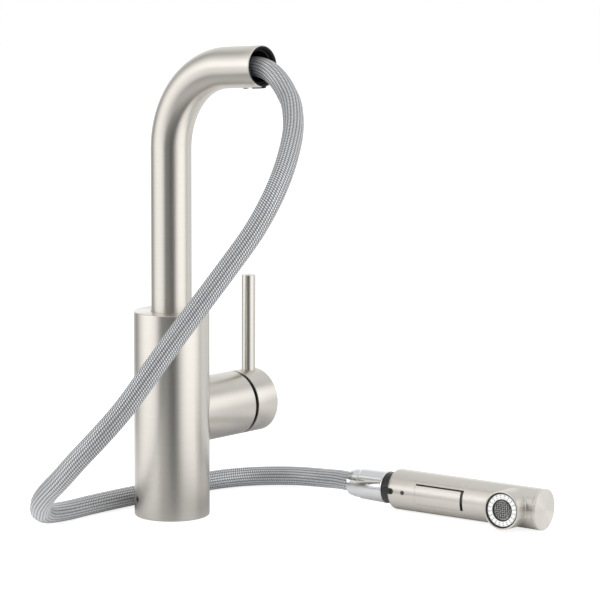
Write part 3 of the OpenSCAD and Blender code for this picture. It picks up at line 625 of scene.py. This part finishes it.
def dress(obj, body, material, stands_for, place=UPRIGHT, grain=lathe_grain):
    """Gives a piece its material and grain, its body and the CAD node that it stands for."""
    mesh = obj.data
    mesh.materials.clear()
    mesh.materials.append(material)
    to_piece = place.inverted()
    to_row = place.to_3x3()
    local = mesh.attributes.new("local", "FLOAT_VECTOR", "POINT")
    around = mesh.attributes.new("around", "FLOAT_VECTOR", "POINT")
    for i, vertex in enumerate(mesh.vertices):
        where, direction = grain(to_piece @ (vertex.co / MM))
        local.data[i].vector = where
        around.data[i].vector = (to_row @ direction).normalized()
    if body:
        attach(obj, body)
    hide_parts(stands_for)
    return obj


# Free hose

HOSE_IN_MOUTH = [
    tuple(MOUTH - OUTWARD * (HOSE_DIP_L + 0.5)), (0, MOUTH.y + HOSE_DIP_L / 2, MOUTH.z - HOSE_DIP / 2),
    (0, MOUTH.y, MOUTH.z - HOSE_DIP)]
HOSE_FROM_OUTLET = [
    HOSE_IN_MOUTH[-1], (-0.6, -93.4, 317), (-2, -101, 313.6), (-4.2, -108.4, 309), (-8, -116.4, 303.8),
    (-13.5, -125.2, 298.6), (-22, -135, 291), (-34, -146, 282), (-48, -156, 272), (-63, -164, 259),
    (-78, -168, 243), (-92, -166, 224), (-107, -160, 204), (-123, -152, 182), (-139, -143, 159),
    (-154, -134, 136), (-167, -124, 114), (-178, -114, 97), (-185, -102, 82), (-188, -89, 68),
    (-186, -76, 58), (-179, -62, 49), (-167, -47, 41), (-152, -30, 34), (-135, -11, 27), (-117, 8, 20),
    (-99, 23, 13), (-82, 33, 9), (-64, 38, 7), (-42, 39, 7), (-16, 39, 7), (10, 38, 7)]
HOSE_TO_SPRAY = [
    (10, 38, 7), (36, 37, 7), (61, 34.5, 7), (83, 30.5, 7), (101.5, 22.5, 7), (115.5, 10, 7.3), (124, -5, 8),
    (126, -21, 9.2), (123.3, -38, 11.2), (119, -53, 13.4), tuple(SPRAY_AXIS @ Vector((0, 0, NUT_REAR)))]


def smooth_route(points, before, after, step=1.4):
    """Even steps along a smooth curve through the points. before and after lie beyond its two ends."""
    guide = [Vector(p) for p in (before, *points, after)]
    fine = []
    for a, b, c, d in zip(guide, guide[1:], guide[2:], guide[3:]):
        t1 = sqrt((b - a).length)
        t2 = t1 + sqrt((c - b).length)
        t3 = t2 + sqrt((d - c).length)
        for k in range(24):
            t = t1 + (t2 - t1) * k / 24
            bc = b.lerp(c, (t - t1) / (t2 - t1))
            first = a.lerp(b, t / t1).lerp(bc, t / t2)
            last = bc.lerp(c.lerp(d, (t - t2) / (t3 - t2)), (t - t1) / (t3 - t1))
            fine.append(first.lerp(last, (t - t1) / (t2 - t1)))
    fine.append(guide[-2])
    length = sum((b - a).length for a, b in zip(fine, fine[1:]))
    count = round(length / step)
    out, walked, i = [fine[0]], 0.0, 0
    for k in range(1, count):
        goal = length * k / count
        while walked + (fine[i + 1] - fine[i]).length < goal:
            walked += (fine[i + 1] - fine[i]).length
            i += 1
        out.append(fine[i].lerp(fine[i + 1], (goal - walked) / (fine[i + 1] - fine[i]).length))
    out.append(fine[-1])
    return out, length


def hose_skin(route, across, run, per_rib=6):
    """A ribbed tube along the route. Returns its shape, the braid's coordinates and where it goes on."""
    around = HOSE_RIBS * per_rib
    rings, braid = [], []
    for i, centre in enumerate(route):
        ahead = (route[min(i + 1, len(route) - 1)] - route[max(i - 1, 0)]).normalized()
        across = (across - ahead * across.dot(ahead)).normalized()
        other = ahead.cross(across)
        run += (centre - route[i - 1]).length if i else 0.0
        ring = []
        for k in range(around):
            angle = 2 * pi * k / around
            r = HOSE_R - RIB_DEPTH * abs(cos(HOSE_RIBS * angle / 2)) ** 3
            ring.append(tuple(centre + across * (r * cos(angle)) + other * (r * sin(angle))))
            braid.append((k / around, run))
        rings.append(ring)
    return skinned(rings), braid, across, run


def hose_piece(name, node, body, route, across, run, material):
    """One stretch of hose. Returns it, and the braid's direction and length at its far end."""
    shape, braid, across, run = hose_skin(route, across, run)
    hose = build(name, shape, sharp=70)
    layer = hose.data.uv_layers.new(name="braid")
    for face in hose.data.polygons:
        spots = [braid[i] for i in face.vertices]
        wraps = max(u for u, v in spots) - min(u for u, v in spots) > 0.5
        for loop, (u, v) in zip(face.loop_indices, spots):
            layer.data[loop].uv = (u + 1.0 if wraps and u < 0.5 else u, v)
    dress(hose, body, material, node, grain=cord_grain)
    return hose, across, run


def hose_in_spout():
    """The hose's route in the spout. It dips a little towards the outlet's lip."""
    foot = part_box("hose_in_spout")[0][2] / MM
    straight = [Vector((0, 0, foot))] + [centre for centre, _ in spout_line()[:-1]]
    dip, _ = smooth_route(HOSE_IN_MOUTH, straight[-1], HOSE_FROM_OUTLET[1])
    return straight + dip


def make_hose(nut, looks):
    """The hose in the spout, which moves with the spout, and the two free stretches, which are tied to no
    body.
    """
    upper, upper_l = smooth_route(HOSE_FROM_OUTLET, HOSE_IN_MOUTH[-2], HOSE_TO_SPRAY[1])
    beyond = Vector(HOSE_TO_SPRAY[-1]) + SPRAY_FORWARD * 12
    lower, lower_l = smooth_route(HOSE_TO_SPRAY, HOSE_FROM_OUTLET[-2], beyond)
    turn, run = Vector((1, 0, 0.2)), 0.0
    braid = looks["braid"]
    inner = hose_in_spout()
    _, turn, run = hose_piece("hose_in_spout_braid", "hose_in_spout", "spout", inner, turn, run, braid)
    first, turn, run = hose_piece("hose_upper_braid", "hose_upper", None, upper, turn, run, braid)
    second, turn, run = hose_piece("hose_lower_braid", "hose_lower", None, lower, turn, run, braid)
    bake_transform(first)
    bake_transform(second)


def make_nut(looks):
    """Chromed nut with a rolled rear end, a step and a long cone that widens towards the spray."""
    outline = rounded([
        (NUT_HOSE_R, NUT_REAR, 0.25), (9.3, NUT_REAR, 0.5), (10.1, -34.6, 1.0), (10.25, -30.0, 0.35),
        (10.9, -28.9, 0.3), (11.35, -9.6, 0.25), (NUT_R, -9.2, 0.2), (NUT_R, NUT_FRONT - 0.2, 0.15),
        (NUT_R - 0.5, NUT_FRONT, 0.15), (NUT_BORE_R, NUT_FRONT, 0.1), (NUT_BORE_R, NUT_STEP, 0),
        (NUT_HOSE_R, NUT_STEP, 0)])
    nut = build("hose_nut_chromed", lathe(outline), SPRAY_AXIS, 40)
    return dress(nut, "hose_end", looks["chrome"], "hose_nut", SPRAY_AXIS)


# Body, valve housing and lever

def make_body(looks):
    """The upright tube with its top plate, the hole for the valve's neck and the small screw's hole."""
    under_top = BODY_H - BODY_TOP_T
    outline = rounded([
        (BODY_R, 0, BODY_CHAMFER), (BODY_R, BODY_H, BODY_CHAMFER), (BODY_TOP_HOLE_R, BODY_H, 0.25),
        (BODY_TOP_HOLE_R, under_top, 0), (BODY_BORE_R, under_top, 0), (BODY_BORE_R, 0, 0.2)])
    body = build("body_tube", lathe(outline, 160))
    screw_place = (Matrix.Translation((0, 0, LOCK_SCREW_Z)) @ Matrix.Rotation(LOCK_SCREW_ANGLE, 4, "Z")
                   @ Matrix.Rotation(pi / 2, 4, "Y"))
    cut(body, build("neck_hole", disc(NECK_R + NECK_GAP, 3, 2 * BODY_R, 96), VALVE),
        build("lock_screw_hole", disc(LOCK_SCREW_HOLE_R, 20, BODY_R + 1), screw_place))
    dress(body, "body", looks["turned"], "body_shell")


def make_housing(looks):
    """The tube beside the body. Its foot follows the body's round side."""
    outline = rounded([
        (HOUSING_R, 0, 0), (HOUSING_R, HOUSING_END, 0.35), (HOUSING_BORE_R, HOUSING_END, 0.2),
        (HOUSING_BORE_R, HOUSING_BORE_FROM, 0), (CARTRIDGE_R, HOUSING_BORE_FROM, 0), (CARTRIDGE_R, 0, 0)])
    housing = build("valve_housing_shell", saddled(lathe(outline, 160), BODY_R + SEAT_GAP), VALVE)
    dress(housing, "body", looks["turned"], "valve_housing", VALVE)


def make_lever(looks):
    """The cap with its hollow ball seat and grub screw hole, and the rod."""
    angles = [radians(a) for a in range(0, 45, 3)]
    dish = [(CAP_DISH_R * sin(a), PIVOT + CAP_DISH_R * cos(a), 0) for a in angles]
    rim_r = sqrt(CAP_DISH_R ** 2 - (CAP_START - PIVOT) ** 2)
    outline = rounded(dish + [
        (rim_r, CAP_START, 0), (HOUSING_R, CAP_START, 0.3), (HOUSING_R, CAP_END, 0.7), (12, CAP_END, 0),
        (0, CAP_END, 0)], 5)
    cap = build("lever_cap_shell", lathe(outline, 160), VALVE)
    cut(cap, build("grub_hole", disc(GRUB_HOLE_R, 40, VALVE_Z - 4), ROD))
    dress(cap, "lever", looks["turned"], "lever_cap", VALVE)
    bar = rounded([(0, ROD_START, 0), (ROD_R, ROD_START, 0), (ROD_R, ROD_END, 0.4), (0, ROD_END, 0)], 5)
    rod = build("lever_rod_bar", lathe(bar, 64), ROD)
    dress(rod, "lever", looks["spout"], "lever_rod", ROD)


# Spout

def make_spout(looks):
    """The bent tube with its wall, the key slot and the screw's hole."""
    line = [(Vector((0, 0, SPOUT_FOOT)), Vector((0, 0, 1)))] + spout_line()
    seat_r = SLEEVE_FLANGE_R + 0.05
    seat_l = SLEEVE_FLANGE_T + 0.05
    rim = [(0.3, SPOUT_R), (0.12, SPOUT_R - 0.04), (0.0, SPOUT_R - 0.16), (0.0, seat_r), (seat_l, seat_r),
           (seat_l, SPOUT_BORE_R)]
    rings = [(centre, ahead, SPOUT_R) for centre, ahead in line]
    rings += [(MOUTH - OUTWARD * s, OUTWARD, r) for s, r in rim]
    rings += [(centre, ahead, SPOUT_BORE_R) for centre, ahead in reversed(line)]
    spout = build("spout_bent_tube", swept(rings))
    half = KEY_W / 2 + SLOT_GAP
    below = Matrix.Translation((0, 0, -SLEEVE_SCREW_X)) @ Matrix.Rotation(pi / 2, 4, "X")
    cut(spout, build("key_slot", block((-half, half), (-20, -8), (-KEY_L - 0.5, 2)), OUTLET),
        build("sleeve_screw_hole", moved(disc(SLEEVE_SCREW_HOLE_R, 8, 20), below), OUTLET))
    dress(spout, "spout", looks["spout"], "spout_tube", grain=spout_grain)


def make_sleeve_screw(looks):
    """Small screw under the outlet, with a round socket in its head."""
    outline = rounded([
        (0, 11, 0), (1.2, 11, 0.1), (1.2, 12.8, 0), (SLEEVE_SCREW_R, 12.8, 0.1),
        (SLEEVE_SCREW_R, SLEEVE_SCREW_TOP, 0.2), (SLEEVE_SOCKET_R, SLEEVE_SCREW_TOP, 0.05),
        (SLEEVE_SOCKET_R, SLEEVE_SOCKET_FLOOR, 0), (0, SLEEVE_SOCKET_FLOOR, 0)], 3)
    place = OUTLET @ Matrix.Translation((0, 0, -SLEEVE_SCREW_X)) @ Matrix.Rotation(pi / 2, 4, "X")
    screw = build("sleeve_screw", lathe(outline, 36), place)
    dress(screw, "spout", looks["dark"], "dock_screw", place)


def make_sleeve(looks):
    """Black liner of the outlet. Its flange is let into the tube's end and its key into the tube's slot."""
    ring = lathe(rounded([
        (SLEEVE_R, -SLEEVE_L, 0.3), (SLEEVE_R, -SLEEVE_FLANGE_T, 0), (SLEEVE_FLANGE_R, -SLEEVE_FLANGE_T, 0),
        (SLEEVE_FLANGE_R, -0.05, 0.1), (SLEEVE_MOUTH_R, -0.05, 0.1), (12.1, -0.7, 0), (SLEEVE_LIP_R, -3, 0.1),
        (SLEEVE_BORE_R, -3.4, 0.1), (SLEEVE_BORE_R, -SLEEVE_L, 0.3)]), 96)
    key = block((-KEY_W / 2, KEY_W / 2), (-SPOUT_R - 0.5, -SLEEVE_R + 0.6), (-KEY_L - 0.4, -0.05))
    sleeve = build("dock_sleeve_liner", joined(ring, key), OUTLET)
    dress(sleeve, "spout", looks["liner"], "dock_sleeve", OUTLET)


# Spray

def make_spray_shell(looks):
    """The spray's tube with its round rear edge and the openings for button, key, screw and nozzle."""
    seam = SPRAY_L - CAP_RIM - CAP_SEAM
    outline = rounded([
        (SPRAY_R, SPRAY_REAR, SPRAY_ROUND), (SPRAY_R, seam, 0.12), (SPRAY_BORE_R, seam, 0),
        (SPRAY_BORE_R, 4.5, 0.2), (SPRAY_HOLE_R, 4.5, 0.1), (SPRAY_HOLE_R, SPRAY_REAR, 0)], 8)
    shell = build("spray_shell_tube", lathe(outline, 160), SPRAY_AXIS)
    half = KEY_W / 2 + SLOT_GAP
    key_end = COLLAR_KEY_END + 0.05 - half
    cut(shell, build("button_hole", block(BUTTON_HOLE_X, (-20, -8), BUTTON_HOLE_Z), SPRAY),
        build("key_slot_side", block((-5, key_end), (-20, -8), (-half, half)), SPRAY),
        build("key_slot_end", disc(half, 8, 20), spray_side(key_end)),
        build("spray_screw_hole", disc(SPRAY_SCREW_HOLE_R, 8, 20), spray_side(SPRAY_SCREW_X)),
        build("nozzle_hole", disc(NOZZLE_HOLE_R, 5, 20, 64), NOZZLE))
    dress(shell, "spray", looks["grip"], "spray_shell", SPRAY_AXIS)


def make_end_cap(looks):
    """The flat cap that closes the spray."""
    seam = SPRAY_L - CAP_RIM + CAP_SEAM
    plug_r = SPRAY_BORE_R - 0.1
    outline = rounded([
        (0, CAP_PLUG_REAR, 0), (plug_r, CAP_PLUG_REAR, 0), (plug_r, seam, 0), (SPRAY_R, seam, 0.12),
        (SPRAY_R, SPRAY_L, 0.5), (12, SPRAY_L, 0), (6, SPRAY_L, 0), (2, SPRAY_L, 0), (0, SPRAY_L, 0)])
    cap = build("spray_end_cap_disc", lathe(outline, 160), SPRAY_AXIS)
    # The end cap gets the lighter steel, whose colour paints its bright reflection.
    dress(cap, "spray", looks["brightened_steel"], "spray_end_cap", SPRAY_AXIS)


def make_button(looks):
    """A piece of the shell's wall with small round edges."""
    rows, columns = 40, 24
    low, high = (asin(z / SPRAY_R) for z in BUTTON_Z)
    points, faces = [], []
    for r in (SPRAY_R, SPRAY_BORE_R):
        for i in range(rows + 1):
            x = BUTTON_X[0] + (BUTTON_X[1] - BUTTON_X[0]) * i / rows
            for k in range(columns + 1):
                a = low + (high - low) * k / columns
                points.append((x, -r * cos(a), r * sin(a)))
    wide = columns + 1
    layer = (rows + 1) * wide
    for i in range(rows):
        for k in range(columns):
            a = i * wide + k
            faces.append((a, a + 1, a + 1 + wide, a + wide))
            faces.append((layer + a, layer + a + wide, layer + a + 1 + wide, layer + a + 1))
    for i in range(rows):
        for k in (0, columns):
            a = i * wide + k
            faces.append((a, a + wide, layer + a + wide, layer + a))
    for k in range(columns):
        for i in (0, rows):
            a = i * wide + k
            faces.append((a, a + 1, layer + a + 1, layer + a))
    button = build("spray_button_panel", (points, faces), SPRAY)
    edge = button.modifiers.new("edge", "BEVEL")
    edge.width = BUTTON_EDGE * MM
    edge.segments = 3
    edge.limit_method = "ANGLE"
    edge.angle_limit = radians(50)
    dress(button, "button", looks["grip"], "spray_button", SPRAY_AXIS)


def make_button_spring(looks):
    """The coil under the button."""
    per_turn, sides = 16, 8
    angles = [2 * pi * m / sides for m in range(sides)]
    wire = [SPRING_WIRE_R * Vector((cos(a), 0, sin(a))) for a in angles]
    steps = SPRING_TURNS * per_turn
    rings = []
    for k in range(steps + 1):
        turn = Matrix.Rotation(2 * pi * k / per_turn, 4, "Z")
        centre = Vector((SPRING_R, 0, SPRING_LOW + (SPRING_HIGH - SPRING_LOW) * k / steps))
        rings.append([tuple(turn @ (centre + p)) for p in wire])
    place = spray_side(PLUNGER_X)
    spring = build("button_coil", skinned(rings), place)
    dress(spring, "spray", looks["wire"], "button_spring", place)
    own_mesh(spring)


def make_spray_collar(looks):
    """Black ring between the nut and the shell, with the key that enters the outlet's sleeve."""
    ring = lathe(rounded([
        (COLLAR_R, COLLAR_REAR, 0.25), (COLLAR_R, COLLAR_FRONT, 0.1), (COLLAR_BORE_R, COLLAR_FRONT, 0.1),
        (COLLAR_BORE_R, COLLAR_REAR, 0.4)]), 128)
    half = KEY_W / 2 - 0.03
    end = COLLAR_KEY_END - half
    to_axis = Matrix.Rotation(-pi / 2, 4, "Y")
    at_tip = to_axis @ Matrix.Translation((end, 0, 0)) @ Matrix.Rotation(pi / 2, 4, "X")
    side = moved(block((-4.5, end), (-COLLAR_KEY_TOP, -COLLAR_KEY_LOW), (-half, half)), to_axis)
    tip = moved(disc(half, COLLAR_KEY_LOW, COLLAR_KEY_TOP, 40), at_tip)
    collar = build("spray_collar_ring", joined(ring, side, tip), SPRAY_AXIS)
    dress(collar, "spray", looks["black"], "spray_collar", SPRAY_AXIS)


def make_nozzle(looks):
    """The steel skirt and the black cup in it. Both sit on the shell's round side."""
    skirt_outline = rounded([
        (NOZZLE_R + 0.5, 0, 0), (NOZZLE_R + 0.2, 0.15, 0), (NOZZLE_R, 0.5, 0), (NOZZLE_R, 16, 0),
        (NOZZLE_R, NOZZLE_REACH, 0.3), (NOZZLE_R - NOZZLE_WALL, NOZZLE_REACH, 0.15),
        (NOZZLE_R - NOZZLE_WALL, 0, 0)])
    skirt = build("nozzle_skirt", saddled(lathe(skirt_outline), SPRAY_R + SEAT_GAP), NOZZLE)
    dress(skirt, "spray", looks["grip"], "nozzle_collar", NOZZLE)
    seat_r = FACE_R + 0.15
    bore_r = FACE_BORE_R + 0.05
    cup_outline = rounded([
        (INSERT_R, 0.1, 0), (INSERT_R, INSERT_REACH, 0.25), (seat_r, INSERT_REACH, 0.15), (seat_r, 20.7, 0),
        (bore_r, 20.7, 0), (bore_r, 0.1, 0)])
    cup = build("nozzle_black_cup", saddled(lathe(cup_outline, 96), SPRAY_R + SEAT_GAP), NOZZLE)
    dress(cup, "spray", looks["black"], "nozzle_insert", NOZZLE)


def jet(angle, r, size):
    """One small rubber jet with its hole."""
    top = FACE_REACH + 0.3
    bore = 0.6 * size
    tube = lathe([(size, top - 0.5), (0.9 * size, top), (bore, top + 0.05), (bore, top - 0.4), (0, top - 0.4),
                  (0, top - 0.5)], 12)
    return moved(tube, Matrix.Translation((r * cos(angle), r * sin(angle), 0)))


def make_spray_face(looks):
    """White ring with two rings of jets."""
    ring = lathe(rounded([(FACE_R, 20.75, 0), (FACE_R, FACE_REACH, 0.35), (FACE_BORE_R, FACE_REACH, 0.25),
                          (FACE_BORE_R, 20.75, 0)]), 96)
    face = build("spray_face_ring", ring, NOZZLE)
    dress(face, "spray", looks["white"], "spray_face", NOZZLE)
    angles = [2 * pi * (i + 0.5) / JETS for i in range(JETS)]
    jets = [jet(a, r, size) for a in angles for r, size in JET_RINGS]
    nibs = build("spray_face_jets", joined(*jets), NOZZLE)
    dress(nibs, "spray", looks["nibs"], "spray_face", NOZZLE)


def woven_wire(offset, sign, crosswise):
    """One wire of the mesh, which waves over and under the wires that it crosses."""
    sides = 6
    half = sqrt(MESH_R ** 2 - offset ** 2)
    steps = max(4, int(2 * half / 0.28))
    rings = []
    for k in range(steps + 1):
        x = -half + 2 * half * k / steps
        z = MESH_REACH + sign * MESH_WAVE * cos(pi * x / MESH_PITCH)
        ring = []
        for m in range(sides):
            a = 2 * pi * m / sides
            y = offset + MESH_WIRE_R * cos(a)
            p = (x, y, z + MESH_WIRE_R * sin(a))
            ring.append((p[1], p[0], p[2]) if crosswise else p)
        rings.append(ring)
    return skinned(rings)


def make_aerator(looks):
    """Black ring of the stream outlet and the wire mesh in it."""
    outer_r = FACE_BORE_R - 0.1
    top = FACE_REACH + 0.2
    ring_outline = rounded([
        (outer_r, 15.8, 0), (outer_r, top, 0.25), (AERATOR_BORE_R, top, 0.2),
        (AERATOR_BORE_R, 22.4, 0), (5.9, 22.4, 0), (5.9, 15.8, 0)])
    ring = build("aerator_cup", lathe(ring_outline, 72), NOZZLE)
    dress(ring, "spray", looks["black"], "aerator_ring", NOZZLE)
    count = int(MESH_R / MESH_PITCH)
    wires = []
    for i in range(-count, count + 1):
        for crosswise in (False, True):
            sign = 1 if (i + crosswise) % 2 else -1
            wires.append(woven_wire(i * MESH_PITCH, sign, crosswise))
    rim = lathe(rounded([(6.7, 22.5, 0.1), (6.7, 23.3, 0.15), (6.3, 23.3, 0.15), (6.3, 22.5, 0.1)], 2), 64)
    mesh = build("aerator_wire_mesh", joined(rim, *wires), NOZZLE)
    dress(mesh, "spray", looks["wire"], "aerator_mesh", NOZZLE)


# Studio. Angles are in degrees from the camera's side, anticlockwise from above.

CAMERA_SIDE = radians(-134.86)
LIGHT_ROUND = [
    (-180, 0.95), (-165, 0.95), (-150, 0.75), (-138, 0.38), (-124, 0.5), (-110, 1.0), (-92, 1.4),
    (-77, 1.46), (-63, 1.38), (-50, 1.16), (-42, 0.7), (-36, 0.33), (-26, 0.22), (-14, 0.22), (-5, 0.12),
    (7, 0.13), (13, 0.22), (20, 0.48), (28, 0.9), (38, 1.26), (50, 1.42), (66, 1.42), (79, 1.38), (87, 0.9),
    (95, 0.28), (102, 0.52), (112, 0.82), (140, 0.88), (154, 0.85), (166, 0.95), (180, 0.95)]
# Brightness by height of the direction, from straight down (-1) to straight up (1)
LIGHT_BY_HEIGHT = [
    (-1.0, 0.85), (-0.66, 1.0), (-0.5, 1.06), (-0.38, 1.08), (-0.26, 0.96), (-0.15, 0.88), (-0.04, 0.94),
    (0.1, 1.22), (0.3, 1.28), (0.45, 1.15), (0.57, 0.96), (0.7, 0.84), (1.0, 0.84)]
# A bright panel on the right, by direction and by height
PANEL_ROUND = [(82, 0.0), (90, 1.0), (100, 1.0), (112, 0.4), (124, 0.0)]
PANEL_HEIGHT = [
    (-0.52, 0.0), (-0.44, 0.36), (-0.24, 0.38), (-0.1, 0.3), (0.08, 0.28), (0.22, 0.55), (0.36, 0.85),
    (0.48, 0.78), (0.57, 0.5), (0.64, 0.0)]
# The even ceiling, above the screens
CEILING = 0.95
CEILING_FROM = 0.69
CEILING_FULL = 0.84
# A dark strip low on the left, by direction and by height
STRIP_ROUND = [
    (-128, 0.0), (-116, 0.3), (-104, 0.6), (-97, 1.0), (-88, 0.95), (-76, 0.88), (-60, 0.8), (-50, 0.5),
    (-40, 0.0)]
STRIP_HEIGHT = [
    (-1.0, 0.62), (-0.9, 0.68), (-0.65, 0.68), (-0.56, 0.75), (-0.45, 0.54), (-0.33, 0.3), (-0.2, 0.06),
    (-0.08, 0.0)]
SOFT_LIGHT = 0.95
# The direction on the floor that points to the photograph's right
FLOOR_RIGHT = (0.676, -0.737)
# The floor's glow in reflections, by the place in metres in that direction, with 0 under the body's middle
FLOOR_GLOW = [(-0.1, 1.2), (0.01, 0.4), (0.055, 0.27), (0.08, 0.5), (0.115, 0.95), (0.19, 1.0)]


def make_room():
    """White to the camera, even for soft light, and a studio's bright and dark screens for reflections."""
    world = bpy.data.worlds.new("studio")
    bpy.context.scene.world = world
    tree = Tree(world)
    x, y, z = tree.split(tree.add("ShaderNodeTexCoord").outputs["Generated"])
    angle = tree.math("SUBTRACT", tree.math("ARCTAN2", y, x), CAMERA_SIDE)
    share = tree.math("FRACT", tree.math("ADD", tree.math("DIVIDE", angle, 2 * pi), 0.5))
    height = tree.remap(z, -1.0, 1.0, 0.0, 1.0)

    def area(by_angle, by_height):
        round_about = tree.ramp(share, [((a + 180) / 360, v) for a, v in by_angle])
        up = tree.ramp(height, [((h + 1) / 2, v) for h, v in by_height])
        return tree.math("MULTIPLY", round_about, up)

    screens = area(LIGHT_ROUND, LIGHT_BY_HEIGHT)
    panel = area(PANEL_ROUND, PANEL_HEIGHT)
    strip = area(STRIP_ROUND, STRIP_HEIGHT)
    path = tree.add("ShaderNodeLightPath").outputs
    mirror = tree.math("MAXIMUM", path["Is Glossy Ray"], path["Is Transmission Ray"])
    lit = tree.math("MULTIPLY", screens, tree.math("SUBTRACT", 1.0, strip))
    around = tree.math("ADD", lit, panel)
    reflected = tree.mix(tree.remap(z, CEILING_FROM, CEILING_FULL, 0.0, 1.0), around, CEILING)
    light = tree.mix(mirror, SOFT_LIGHT, reflected)
    strength = tree.mix(path["Is Camera Ray"], light, 1.0)
    background = tree.add("ShaderNodeBackground", {"Color": (1, 1, 1, 1), "Strength": strength})
    tree.add("ShaderNodeOutputWorld", {"Surface": background.outputs[0]})


def make_floor():
    """White, with the object's shadow. Reflections see it only close to the object, and the room beyond."""
    material = bpy.data.materials.new("studio_floor")
    tree = Tree(material)
    path = tree.add("ShaderNodeLightPath").outputs
    x, y, _ = tree.split(tree.add("ShaderNodeTexCoord").outputs["Object"])
    away = tree.math("SQRT", tree.math("ADD", tree.math("MULTIPLY", x, x), tree.math("MULTIPLY", y, y)))
    near = tree.remap(away, 0.03, 0.7, 0.4, 0.0)
    white = (1, 1, 1, 1)
    matt = tree.add("ShaderNodeBsdfDiffuse", {"Color": (0.8, 0.8, 0.8, 1)}).outputs[0]
    pale = tree.add("ShaderNodeBsdfDiffuse", {"Color": (0.45, 0.45, 0.45, 1)}).outputs[0]
    # For the camera
    own_light = tree.add("ShaderNodeEmission", {"Color": white, "Strength": 0.8}).outputs[0]
    seen = tree.add("ShaderNodeAddShader", {0: pale, 1: own_light}).outputs[0]
    # For the light that the floor throws back: a painted glow of bounce light, dimmed close to the body to
    # paint shade on what lies beside it
    bounce_dimmed_near_body = tree.remap(away, 0.04, 0.14, 0.1, 2.0)
    level = tree.math("MULTIPLY", near, bounce_dimmed_near_body)
    bounce = tree.add("ShaderNodeEmission", {"Color": white, "Strength": level}).outputs[0]
    thrown = tree.add("ShaderNodeAddShader", {0: matt, 1: bounce}).outputs[0]
    # For reflections, which see the dark under the object too
    right, back = FLOOR_RIGHT
    side = tree.math("SUBTRACT", tree.math("MULTIPLY", x, right), tree.math("MULTIPLY", y, -back))
    strength = tree.ramp(tree.math("ADD", side, 0.5), [(d + 0.5, v) for d, v in FLOOR_GLOW])
    glow = tree.add("ShaderNodeEmission", {"Color": white, "Strength": strength}).outputs[0]
    clear = tree.add("ShaderNodeBsdfTransparent").outputs[0]
    close = tree.remap(path["Ray Length"], 0.03, 0.5, 0.85, 0.0)
    lit = tree.add("ShaderNodeMixShader", {0: close, 1: clear, 2: glow}).outputs[0]
    free = tree.add("ShaderNodeAmbientOcclusion", {"Distance": 0.05}).outputs["AO"]
    open_floor = tree.remap(free, 0.3, 0.9, 0.0, 1.0)
    mirrored = tree.add("ShaderNodeMixShader", {0: open_floor, 1: matt, 2: lit}).outputs[0]
    mirror = tree.math("MAXIMUM", path["Is Glossy Ray"], path["Is Transmission Ray"])
    other = tree.add("ShaderNodeMixShader", {0: path["Is Camera Ray"], 1: thrown, 2: seen}).outputs[0]
    both = tree.add("ShaderNodeMixShader", {0: mirror, 1: other, 2: mirrored}).outputs[0]
    tree.add("ShaderNodeOutputMaterial", {"Surface": both})
    reach = 4000
    corners = [(-reach, -reach, -0.3), (reach, -reach, -0.3), (reach, reach, -0.3), (-reach, reach, -0.3)]
    floor = build("floor", (corners, [(0, 1, 2, 3)]))
    floor.data.materials.append(material)


def make_lamp(name, place, size, power):
    """A soft lamp aimed at the object."""
    data = bpy.data.lights.new(name, "AREA")
    data.shape = "SQUARE"
    data.size = size
    data.energy = power
    lamp = bpy.data.objects.new(name, data)
    lamp.location = place
    lamp.rotation_mode = "QUATERNION"
    lamp.rotation_quaternion = (Vector((0, 0, 0.12)) - Vector(place)).to_track_quat("-Z", "Y")
    lamp.visible_glossy = False
    bpy.context.scene.collection.objects.link(lamp)


def make_all():
    """Camera and cords first, then the pieces and the studio."""
    make_camera()
    looks = make_materials()
    make_hose(make_nut(looks), looks)
    dress_cad_nodes()
    make_body(looks)
    make_housing(looks)
    make_lever(looks)
    make_spout(looks)
    make_sleeve(looks)
    make_sleeve_screw(looks)
    make_spray_shell(looks)
    make_end_cap(looks)
    make_button(looks)
    make_button_spring(looks)
    make_spray_collar(looks)
    make_nozzle(looks)
    make_spray_face(looks)
    make_aerator(looks)
    make_room()
    make_floor()
    make_lamp("left_lamp", (-2.2, -0.6, 2.2), 1.6, 22)
    make_lamp("right_lamp", (0.8, -2.2, 1.6), 1.6, 12)


make_all()
bpy.context.scene.view_settings.view_transform = "Standard"
